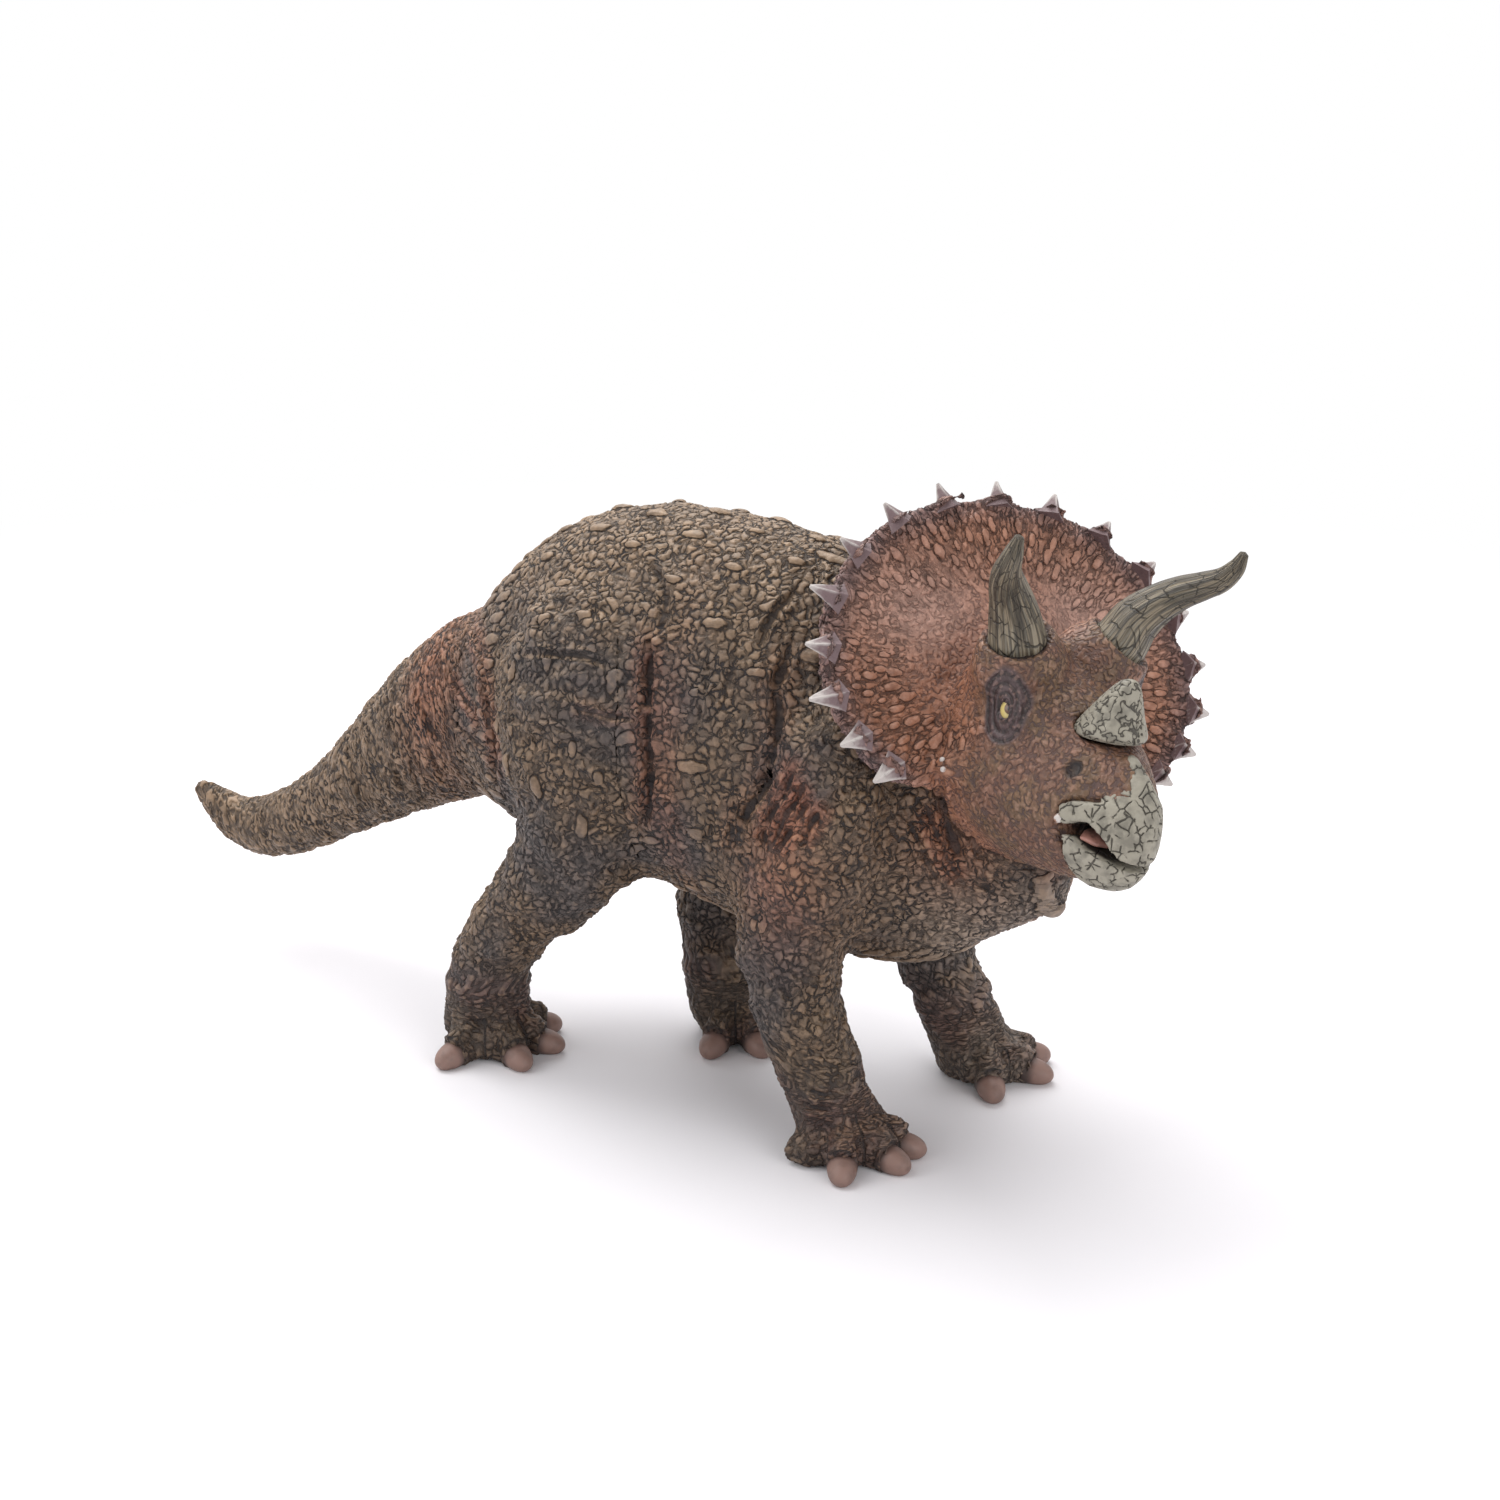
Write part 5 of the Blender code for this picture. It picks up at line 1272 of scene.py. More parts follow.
def skin_material():
    """Painted scaly skin of body and head."""
    tone = paints()
    material = bpy.data.materials.new("scaly_skin")
    material.use_nodes = True
    web = Web(material.node_tree)
    shader = material.node_tree.nodes["Principled BSDF"]
    _, dark, crest, inside, own = skin_relief(web)
    orbit = web.attribute("orbit")
    dark = web.math("MULTIPLY", dark, web.step(orbit, 0.95, 1.15))
    rest = web.attribute("rest", "FLOAT_VECTOR")
    normal = web.attribute("rest_normal", "FLOAT_VECTOR")
    facing = web.add("ShaderNodeSeparateXYZ", {"Vector": normal}).outputs[2]
    patches = web.noise(rest, 42.0, 3.0)
    mottle = web.noise(rest, 190.0, 4.0)
    speck = web.noise(rest, 900.0, 2.0)
    head, tail = web.attribute("head"), web.attribute("tail")
    cold = web.step(patches, 0.43, 0.61, 0.0, 0.82)
    cold = web.math("MULTIPLY", cold, web.math("SUBTRACT", 1.0, web.math("MULTIPLY", tail, 0.7)))
    base = web.tint(tone.brown, tone.wash, cold)
    # Painted top light: skin that faces upwards is tinted tan; the tail also has tan paint of its
    # own, broken up by mottle
    top = web.step(facing, 0.10, 0.90, 0.0, 0.80)
    top = web.math("MAXIMUM", top, web.math("MULTIPLY", tail, 0.45))
    top = web.math("MULTIPLY", top, web.step(mottle, 0.3, 0.6, 0.5, 1.0))
    base = web.tint(base, tone.tan, top)
    # Pale throat scales, partly a painted highlight on throat and chest
    base = web.tint(base, tone.throat, web.math("MULTIPLY", web.attribute("throat"), 0.75))
    base = web.tint(base, tone.blush, web.math("MULTIPLY", web.attribute("blush"), 0.8))
    foot = web.attribute("foot")
    patchy = web.step(patches, 0.44, 0.62, 0.0, 0.30)
    base = web.tint(base, tone.blush, web.math("MULTIPLY", foot, patchy))
    base = web.tint(base, tone.groove, web.math("MULTIPLY", foot, 0.45))
    face = web.tint(tone.face, tone.ochre, web.step(mottle, 0.40, 0.62))
    sheet, dish = web.attribute("sheet"), web.attribute("dish")
    face = web.tint(face, tone.frill, web.attribute("amber"))
    face = web.tint(face, tone.dish, web.math("MULTIPLY", dish, 0.85))
    rim = web.math("MULTIPLY", web.attribute("rim"), web.step(mottle, 0.3, 0.6, 0.65, 1.0))
    bright = [value * 1.5 for value in tone.rim]
    face = web.tint(face, bright, web.math("MULTIPLY", rim, 0.9))
    lid = web.step(web.math("ADD", orbit, web.math("MULTIPLY", mottle, 0.12)), 1.12, 0.98)
    lines = web.step(web.math("SINE", web.math("MULTIPLY", orbit, 27.0)), 0.1, -0.7)
    shade = web.tint(tone.rim, tone.groove, web.math("MULTIPLY_ADD", lines, 0.6, 0.15))
    face = web.tint(face, shade, web.math("MULTIPLY", lid, 0.95))
    face = web.tint(face, tone.rim, web.math("MULTIPLY", web.attribute("behind"), 0.35))
    base = web.tint(base, face, head)
    # Each scale has its own tone, with painted shade towards its edges and a painted highlight on its
    # crest, and its crest catches the dry brush
    lift = web.step(own, 0.0, 1.0, 0.86, 1.14)
    shade = web.step(crest, 0.1, 0.95, 0.68, 1.15)
    shade = web.blend(shade, 1.0, web.math("MULTIPLY", head, 0.6))
    lift = web.math("MULTIPLY", lift, shade)
    lift = web.math("MULTIPLY", lift, web.step(speck, 0.3, 0.7, 0.82, 1.18))
    grey = web.add("ShaderNodeCombineColor", {0: lift, 1: lift, 2: lift})
    base = web.tint(base, grey.outputs[0], 1.0, "MULTIPLY")
    brushed = web.math("MULTIPLY", web.step(crest, 0.55, 1.0), web.step(speck, 0.45, 0.65))
    light = web.tint(tone.tan, tone.dish, web.math("MULTIPLY", head, 0.75))
    some = web.math("SUBTRACT", 0.34, web.math("MULTIPLY", head, 0.10))
    base = web.tint(base, light, web.math("MULTIPLY", brushed, some))
    some = web.math("SUBTRACT", 0.08, web.math("MULTIPLY", head, 0.06))
    base = web.tint(base, light, web.math("MULTIPLY", inside, some))
    # Grooves hold slate paint on the body and brown on the face
    deep = web.tint(tone.groove, tone.rim, web.math("MULTIPLY", web.attribute("face"), 0.7))
    dirt = web.step(mottle, 0.3, 0.7, 0.70, 1.0)
    soft = web.math("SUBTRACT", 0.97, web.math("MULTIPLY", web.attribute("face"), 0.22))
    soft = web.math("SUBTRACT", soft, web.math("MULTIPLY", sheet, 0.22))
    soft = web.math("SUBTRACT", soft, web.math("MULTIPLY", dish, 0.25))
    base = web.tint(base, deep, web.math("MULTIPLY", dark, web.math("MULTIPLY", dirt, soft)))
    # Painted shade in the nostrils, the horn sockets and the corner of the mouth
    base = web.tint(base, tone.groove, web.attribute("pit"))
    web.feed(shader.inputs["Base Color"], base)
    web.feed(shader.inputs["Roughness"], web.step(dark, 0.0, 1.0, 0.47, 0.75))
    shader.inputs["Specular IOR Level"].default_value = 0.40
    grain = web.math("MULTIPLY", web.noise(rest, 1500.0, 3.0), 0.00013)
    less = web.math("SUBTRACT", 1.0, web.math("MULTIPLY", web.attribute("face"), 0.55))
    cut = web.math("MULTIPLY", web.math("MULTIPLY", dark, -0.00030), less)
    crown = web.math("MULTIPLY", web.math("MULTIPLY", crest, 0.00022), less)
    ridge = web.math("SINE", web.math("MULTIPLY", orbit, 27.0))
    ridge = web.math("MULTIPLY", web.math("MULTIPLY", ridge, lid), 0.00016)
    total = web.math("ADD", web.math("ADD", grain, cut), web.math("ADD", crown, ridge))
    bump(web, shader, total)
    return material


def declare(obj, nodes=()):
    """Registers a finished piece."""
    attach(obj, BODY)
    if nodes:
        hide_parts(*nodes)
    return obj


def declare_mesh(bm, name, material):
    """Turns a finished bmesh into a smooth piece and registers it."""
    mesh = bpy.data.meshes.new(name)
    bm.to_mesh(mesh)
    bm.free()
    mesh.shade_smooth()
    mesh.materials.append(material)
    return declare(link(name, mesh))


def make_skin():
    """The whole skin, parted into one piece for each solid."""
    settings = sizes()
    names = list(SKIN_NODES)
    swelling = 0.00025
    obj = voxel_form([*names, "upper_beak"], settings.skin_mesh, swelling)
    rough = Surface(obj.data)
    rough.keep_largest()
    rough.points -= rough.normals() * swelling
    obj.data = mesh_from("form", rough.points, rough.faces, NO_TRIANGLES, {})
    near = distances(obj, names)
    order = np.argsort(near, axis=0)
    second = np.take_along_axis(near, order[1:2], axis=0)[0]
    head = names.index("head")
    with_head = (order[0] == head) | (order[1] == head)
    reach = np.where(with_head, 0.0025, 0.0090)
    soft = 1.0 - step(second / reach, 0.35, 1.0)
    for _ in range(6):
        soft = rough.mean(soft)
    floor = rough.points[:, 2] < 0.0006
    rough.fill_in(np.where(floor, 0.0, 0.9 * soft), 34)
    rough.smooth(np.where(floor, 0.0, 0.35), 2)
    on_head = np.exp(-near[head] / 0.004) * (near.argmin(axis=0) == head)
    rough.smooth(0.9 * temple(rough.points, on_head), 45)
    obj.data = mesh_from("form", rough.points, rough.faces, NO_TRIANGLES, {})
    halved = obj.modifiers.new("Halving", "SUBSURF")
    halved.levels = 1
    halved.render_levels = 1
    flattened(obj)
    bpy.context.view_layer.update()
    skin = Surface(obj.data)
    near = distances(obj, names)
    sculpt_folds(skin, obj)
    zone = np.exp(-near[head] / 0.002) * (near.argmin(axis=0) == head)
    sculpt_head(skin, obj, zone)
    under = distances(obj, ["upper_beak"])[0] < 0.0005
    skin.points -= skin.facing * (0.0007 * (under & (to_head(skin.points)[:, 2] < 0.0045)))[:, None]
    chin = on_skin(obj, CHIN_SPOT)
    if chin:
        swell(skin, chin, 0.0022, 0.0012)
    leg = np.exp(-near[[names.index(name) for name in FEET]].min(axis=0) / 0.0015)
    leg *= step(skin.points[:, 2], 0.010, 0.016)
    for length, height in ((0.016, 0.0006), (0.0075, 0.0004)):
        skin.points += skin.facing * (sway(skin.points, length, height) * leg)[:, None]
    sculpt_feet(skin)
    skin.points[:, 2] = np.maximum(skin.points[:, 2], 0.0)
    skin.facing = skin.normals()
    values = wrap_values(skin, near, names)
    labels = near.copy()
    for _ in range(5):
        labels = np.stack([skin.mean(row) for row in labels])
    labels = labels.argmin(axis=0)
    on_head = (labels == head).astype(float)
    for _ in range(2):
        on_head = skin.mean(on_head)
    values["head"] = np.where(labels == head, np.maximum(on_head, 0.5), np.minimum(on_head, 0.5))
    backward = -(skin.facing @ SHEET_FRONT)
    values["behind"] = skin.sheet * step(backward, 0.1, 0.6)
    obj.data = mesh_from("form", skin.points, skin.faces, NO_TRIANGLES, values)
    material = skin_material()
    corners = raised_corners(names)
    tree, inputs = relief_tree(material, corners)
    grow(obj, tree, inputs)
    bpy.data.objects.remove(corners)
    skin.points = values_of(obj.data, "position", 3)
    skin.points[:, 2] = np.maximum(skin.points[:, 2], 0.0)
    values["oval"] = values_of(obj.data, "oval")
    facing = skin.normals()
    bpy.data.objects.remove(obj)
    for which, name in enumerate(names):
        points, quads, triangles, kept, normals = part_skin(
            skin.points, skin.faces, facing, labels, values, which
        )
        mesh = mesh_from(f"{name}_skin", points, quads, triangles, kept)
        mesh.materials.append(material)
        mesh.normals_split_custom_set_from_vertices(normals.tolist())
        declare(link(f"{name}_skin", mesh), [name])


# Nails, eyes and other small pieces


def plain_material(name, tone, roughness, level=0.4):
    """A painted finish of one colour, to be refined by nodes."""
    material = bpy.data.materials.new(name)
    material.use_nodes = True
    shader = material.node_tree.nodes["Principled BSDF"]
    shader.inputs["Roughness"].default_value = roughness
    shader.inputs["Specular IOR Level"].default_value = level
    shader.inputs["Base Color"].default_value = (*tone, 1.0)
    return material, Web(material.node_tree), shader


def nail_material():
    """Smooth taupe nails with a few fine lines and a dark root."""
    tone = paints()
    material, web, shader = plain_material("nail_paint", tone.nail, 0.48)
    place = place_of(web)
    cloud = web.noise(place, 330.0, 4.0)
    root = web.attribute("root")
    darker = [value * 0.62 for value in tone.nail]
    base = web.tint(tone.nail, darker, web.step(cloud, 0.45, 0.75, 0.0, 0.8))
    base = web.tint(base, tone.groove, web.step(root, 0.50, 0.85, 0.0, 0.8))
    web.feed(shader.inputs["Base Color"], base)
    lines = web.noise(web.vector("MULTIPLY", place, (1.0, 1.0, 0.4)), 1500.0, 2.0)
    bump(web, shader, web.math("MULTIPLY", lines, 0.00005))
    return material


def nail_mesh_parts(length, centre, angle):
    """Points and faces of one blunt nail that rests on the floor."""
    around, along = 24, 16
    points, root = [], []
    for j in range(along + 1):
        s = 1.0 - (1.0 - j / along) ** 1.6
        x = (s - 0.46) * length
        size = 0.49 * length * (1.0 - min(s, 0.998) ** 3.0) ** 0.5 * (1.0 - 0.08 * s)
        for i in range(around):
            t = math.tau * i / around
            y = size * math.cos(t)
            z = size * math.sin(t) * 0.94 - 0.10 * length * s
            points.append((x, y, z))
            root.append(1.0 - s)
    faces = []
    for j in range(along):
        for i in range(around):
            k = (i + 1) % around
            a, b = j * around, (j + 1) * around
            faces.append((a + i, a + k, b + k, b + i))
    faces.append(tuple(reversed(range(around))))
    faces.append(tuple(range(along * around, (along + 1) * around)))
    turn = Matrix.Translation(centre) @ Matrix.Rotation(angle, 4, "Z")
    placed = [turn @ Vector(p) for p in points]
    for p in placed:
        p.z = max(p.z, 0.0)
    return placed, faces, root


def make_nails():
    """Fourteen nails, one piece for each foot."""
    material = nail_material()
    for node in FEET:
        bm = bmesh.new()
        mark = bm.verts.layers.float.new("root")
        for centre, angle in nail_frames(node):
            points, faces, root = nail_mesh_parts(sizes().nail_length, centre, angle)
            verts = [bm.verts.new(p) for p in points]
            for vert, value in zip(verts, root):
                vert[mark] = value
            for face in faces:
                bm.faces.new([verts[i] for i in face])
        bmesh.ops.recalc_face_normals(bm, faces=bm.faces)
        declare_mesh(bm, f"{node}_nails", material)


def skin_level(x, z, side):
    """How far out the head's skin lies at a place of its side view."""
    head = bpy.data.objects["head_skin"]
    start = head_point(x, side * 0.022, z)
    ray = HEAD.to_3x3() @ Vector((0.0, -side, 0.0))
    hit, point, _, _ = head.ray_cast(start, ray)
    return (HEAD.inverted() @ point).y if hit else side * EYE_PLACE[1]


def eye_material():
    """Yellow eye with a brown ring and a dark pupil, under gloss varnish."""
    tone = paints()
    material, web, shader = plain_material("eye_paint", tone.eye, 0.12, 0.6)
    ring = web.attribute("ring")
    base = web.tint(tone.eye, tone.iris, web.step(ring, 0.52, 0.44))
    base = web.tint(base, tone.groove, web.step(ring, 0.24, 0.16))
    base = web.tint(base, tone.iris, web.step(ring, 0.95, 1.15))
    web.feed(shader.inputs["Base Color"], base)
    return material


def make_eyes():
    """Eyeballs in their lids, and the pale tubercles of the cheek."""
    ball_paint = eye_material()
    lid_paint, web, shader = plain_material("lid_paint", paints().rim, 0.5)
    place = place_of(web)
    web.feed(
        shader.inputs["Base Color"],
        web.tint(paints().rim, paints().groove, web.step(web.noise(place, 1400.0), 0.4, 0.6)),
    )
    dot_paint, web, shader = plain_material("tubercle_paint", paints().tip, 0.5)
    web.feed(
        shader.inputs["Base Color"],
        web.tint(paints().tip, paints().frill, web.step(web.noise(place_of(web), 900.0), 0.5, 0.7)),
    )
    radius = sizes().eye_size / 2
    for side, sign in SIDES.items():
        x, _, z = EYE_PLACE
        level = skin_level(x + 0.0022, z, sign)
        middle = Vector((x, level - sign * (radius - 0.0002), z))
        bm = bmesh.new()
        mark = bm.verts.layers.float.new("ring")
        bmesh.ops.create_uvsphere(bm, u_segments=40, v_segments=28, radius=radius)
        look = Vector((EYE_LOOK[0], sign * EYE_LOOK[1], EYE_LOOK[2])).normalized()
        for vert in bm.verts:
            vert[mark] = (vert.co.normalized() - look).length
            vert.co = HEAD @ (middle + vert.co)
        bmesh.ops.recalc_face_normals(bm, faces=bm.faces)
        declare_mesh(bm, f"eye_{side}", ball_paint)
        tube_ring(f"eyelid_{side}", middle, sign, radius, lid_paint)
        bm = bmesh.new()
        for dx, dz in ((-0.0006, 0.0007), (0.0008, -0.0006)):
            at = Vector((CHEEK_PLACE[0] + dx, 0.0, CHEEK_PLACE[2] + dz))
            at.y = skin_level(at.x, at.z, sign)
            made = bmesh.ops.create_icosphere(bm, subdivisions=3, radius=0.00048)
            for vert in made["verts"]:
                vert.co = HEAD @ (at + vert.co)
        made = bmesh.ops.create_icosphere(bm, subdivisions=3, radius=0.00075)
        for vert in made["verts"]:
            vert.co = HEAD @ (Vector((MOUTH_CORNER[0], sign * MOUTH_CORNER[1], 0.0)) + vert.co)
        declare_mesh(bm, f"cheek_tubercles_{side}", dot_paint)


def place_of(web):
    """Coordinates in the piece's own frame."""
    return web.add("ShaderNodeTexCoord").outputs["Object"]


def tube_ring(name, middle, sign, radius, material):
    """An almond-shaped rim of skin round an eyeball."""
    around, thick = 48, 12
    bm = bmesh.new()
    rings = []
    for i in range(around):
        t = math.tau * i / around
        wide = 0.86 * radius * math.cos(t)
        high = 0.62 * radius * math.sin(t) * (1.0 - 0.28 * math.cos(t) ** 2)
        tilt = -0.35
        dx = wide * math.cos(tilt) - high * math.sin(tilt)
        dz = wide * math.sin(tilt) + high * math.cos(tilt)
        out = math.sqrt(max(radius**2 - dx**2 - dz**2, 0.0))
        on_ball = Vector((dx, sign * out, dz))
        normal = on_ball.normalized()
        outward = Vector((dx, 0.0, dz)).normalized()
        size = radius * (0.20 if math.sin(t) > 0 else 0.15)
        ring = []
        for k in range(thick):
            u = math.tau * k / thick
            point = on_ball + outward * size * (math.cos(u) + 0.55) + normal * size * math.sin(u)
            ring.append(bm.verts.new(HEAD @ (middle + point)))
        rings.append(ring)
    for first, second in zip(rings, [*rings[1:], rings[0]]):
        for k in range(thick):
            n = (k + 1) % thick
            bm.faces.new((first[k], first[n], second[n], second[k]))
    bmesh.ops.recalc_face_normals(bm, faces=bm.faces)
    declare_mesh(bm, name, material)


# Spikes of the frill


def spike_material():
    """Purple-brown root with pale dry-brushed ridges and tip."""
    tone = paints()
    material, web, shader = plain_material("spike_paint", tone.tip, 0.55)
    place = place_of(web)
    tip = web.attribute("tip")
    rough = web.noise(place, 700.0, 4.0)
    level = web.add("ShaderNodeSeparateXYZ", {"Vector": place}).outputs[2]
    low = web.step(level, 0.105, 0.060, 0.0, 0.42)
    share = web.math("ADD", web.math("MULTIPLY", tip, 0.95), web.math("MULTIPLY", rough, 0.7))
    share = web.math("ADD", share, web.math("MULTIPLY", web.attribute("ridge"), 0.40))
    share = web.step(web.math("ADD", share, low), 0.84, 1.45)
    root = [value * 1.7 for value in tone.rim]
    base = web.tint(root, tone.tip, web.math("MULTIPLY", share, 0.85))
    base = web.tint(base, tone.groove, web.step(web.noise(place, 1300.0), 0.58, 0.70, 0.0, 0.25))
    web.feed(shader.inputs["Base Color"], base)
    bump(web, shader, web.math("MULTIPLY", rough, 0.00025))
    return material


def spike_tree(material):
    """Low four-sided scutes that point out from the frill, one on each given point."""
    settings = {
        "Length": sizes().spike_length,
        "Width": sizes().spike_width,
        "Thickness": 0.0048,
        "Seed": sizes().seed,
        "Paint": material,
    }
    tree, web, group_in, group_out = new_geometry_tree("Frill spikes", settings)
    cone = web.add("GeometryNodeMeshCone", fill_type="NGON")
    shape = {
        "Vertices": 4,
        "Side Segments": 6,
        "Radius Top": 0.06,
        "Radius Bottom": 0.5,
        "Depth": 1.0,
    }
    for label, value in shape.items():
        cone.inputs[label].default_value = value
    where = web.add("GeometryNodeInputPosition").outputs[0]
    rise = web.add("ShaderNodeSeparateXYZ", {"Vector": where})
    marked = store(web, cone.outputs["Mesh"], "tip", rise.outputs[2])
    # The sides bow inwards, so that a spike springs from the rim
    bow = web.math("SINE", web.math("MULTIPLY", rise.outputs[2], math.pi))
    flat = web.add("ShaderNodeCombineXYZ", {"X": rise.outputs[0], "Y": rise.outputs[1]})
    inward = web.vector("SCALE", flat.outputs[0], web.math("MULTIPLY", bow, -0.08))
    bowed = web.add("GeometryNodeSetPosition", {"Geometry": marked, "Offset": inward})
    sides = [web.math("ABSOLUTE", rise.outputs[axis]) for axis in (0, 1)]
    fine = web.add("GeometryNodeSubdivideMesh", {"Mesh": bowed.outputs[0], "Level": 3})
    between = web.math("DIVIDE", web.math("MINIMUM", *sides), web.math("ADD", *sides))
    fine = store(web, fine.outputs[0], "ridge", web.step(between, 0.22, 0.04))
    where = web.add("GeometryNodeInputPosition").outputs[0]
    out = web.vector("NORMALIZE", web.vector("SUBTRACT", where, tuple(HEAD @ FRILL_CENTRE)))
    back = tuple(SHEET_FRONT)
    stand = web.add("FunctionNodeAlignRotationToVector", {"Vector": out}, axis="Z")
    stand = web.add(
        "FunctionNodeAlignRotationToVector",
        {"Rotation": stand.outputs[0], "Vector": back},
        axis="Y",
        pivot_axis="Z",
    )
    uneven = web.add("FunctionNodeRandomValue", data_type="FLOAT")
    web.feed(uneven.inputs[2], 0.86)
    web.feed(uneven.inputs[3], 1.10)
    web.feed(uneven.inputs["Seed"], group_in.outputs["Seed"])
    longer = web.math("ADD", web.attribute("longer"), 1.0)
    length = web.math("MULTIPLY", group_in.outputs["Length"], longer)
    size = web.add(
        "ShaderNodeCombineXYZ",
        {
            "X": group_in.outputs["Width"],
            "Y": group_in.outputs["Thickness"],
            "Z": web.math("MULTIPLY", length, uneven.outputs[1]),
        },
    )
    points = web.add("GeometryNodeMeshToPoints", {"Mesh": group_in.outputs["Geometry"]})
    sunk = web.vector("SCALE", out, -0.0030)
    base = web.add("GeometryNodeSetPosition", {"Geometry": points.outputs[0], "Offset": sunk})
    placed = web.add(
        "GeometryNodeInstanceOnPoints",
        {
            "Points": base.outputs[0],
            "Instance": fine,
            "Rotation": stand.outputs[0],
            "Scale": size.outputs[0],
        },
    )
    real = web.add("GeometryNodeRealizeInstances", {"Geometry": placed.outputs[0]})
    # A little unevenness, as the scutes are modelled by hand
    here = web.add("GeometryNodeInputPosition").outputs[0]
    push = web.vector("SUBTRACT", web.noise(here, 420.0, 2.0, 1), (0.5, 0.5, 0.5))
    dented = web.add(
        "GeometryNodeSetPosition",
        {"Geometry": real.outputs[0], "Offset": web.vector("SCALE", push, 0.00022)},
    )
    crisp = web.add("GeometryNodeSetShadeSmooth", {0: dented.outputs[0], "Shade Smooth": False})
    finished(web, crisp.outputs[0], group_in.outputs["Paint"], group_out)
    return tree, settings


def make_spikes():
    """The ring of scutes round the frill, each standing in the middle of its thickness."""
    places = spike_places() + SHEET_FRONT * -0.0003
    mesh = bpy.data.meshes.new("frill_spikes")
    mesh.from_pydata(places.tolist(), [], [])
    # Those at the sides stand out further, most of all on the figure's right
    local = to_head(places)
    sideways = -(local[:, 1] - FRILL_CENTRE.y) / FRILL_HALF_WIDTH
    longer = np.where(sideways > 0.0, 0.42, -0.15) * sideways
    set_values(mesh, "longer", longer)
    obj = link("frill_spikes", mesh)
    tree, settings = spike_tree(spike_material())
    grow(obj, tree, settings)
    bm = bmesh.new()
    bm.from_mesh(obj.data)
    bmesh.ops.recalc_face_normals(bm, faces=bm.faces)
    bm.to_mesh(obj.data)
    bm.free()
    declare(obj)


# Horns and beak


def horn_material():
    """Olive horn with pale striations, long grooves and thin cracks across."""
    tone = paints()
    material, web, shader = plain_material("horn_paint", tone.horn, 0.44)
    wrap = web.attribute("wrap", "FLOAT_VECTOR")
    run = web.add("ShaderNodeSeparateXYZ", {"Vector": wrap}).outputs[2]
    grooves = web.noise(web.vector("MULTIPLY", wrap, (8.0, 8.0, 0.55)), 1.0, 4.0)
    bent = web.shift(web.vector("MULTIPLY", wrap, (1.7, 1.7, 1.5)), 0.7, 0.9)
    cracks, _ = web.cells(bent, web.vector("MULTIPLY", wrap, (1.0, 1.0, 0.0)), 1.0)
    some = web.step(web.noise(wrap, 1.6, 1.0), 0.40, 0.50)
    crack = web.math("SUBTRACT", 1.0, web.step(cracks, 0.015, 0.055))
    crack = web.math("MULTIPLY", crack, some)
    hollow = web.step(grooves, 0.52, 0.59)
    light = [min(value * 2.7, 1.0) for value in tone.horn]
    pale = web.math("MULTIPLY", web.step(grooves, 0.50, 0.40), 0.90)
    base = web.tint(tone.horn, light, pale)
    base = web.tint(base, tone.crack, web.math("MULTIPLY", hollow, 0.80))
    foot = web.step(run, 1.1, 0.2)
    stripe = web.noise(web.vector("MULTIPLY", wrap, (19.0, 19.0, 0.7)), 1.0, 2.0)
    foot = web.math("MAXIMUM", foot, 0.35)
    white = web.math("MULTIPLY", foot, web.step(stripe, 0.52, 0.60, 0.0, 0.75))
    base = web.tint(base, tone.beak, white)
    base = web.tint(base, tone.crack, web.math("MULTIPLY", crack, 0.85))
    furrow = web.attribute("furrow")
    base = web.tint(base, tone.crack, web.math("MULTIPLY", web.step(furrow, 0.35, 0.95), 0.75))
    # The horn's foot, where it sits in its socket, is painted with shade
    seat = web.step(run, 0.22, 0.02, 0.0, 0.85)
    base = web.tint(base, tone.crack, seat)
    web.feed(shader.inputs["Base Color"], base)
    height = web.math("MULTIPLY", grooves, 0.00050)
    height = web.math("SUBTRACT", height, web.math("MULTIPLY", crack, 0.00025))
    height = web.math("ADD", height, web.math("MULTIPLY", stripe, 0.00022))
    bump(web, shader, height)
    return material


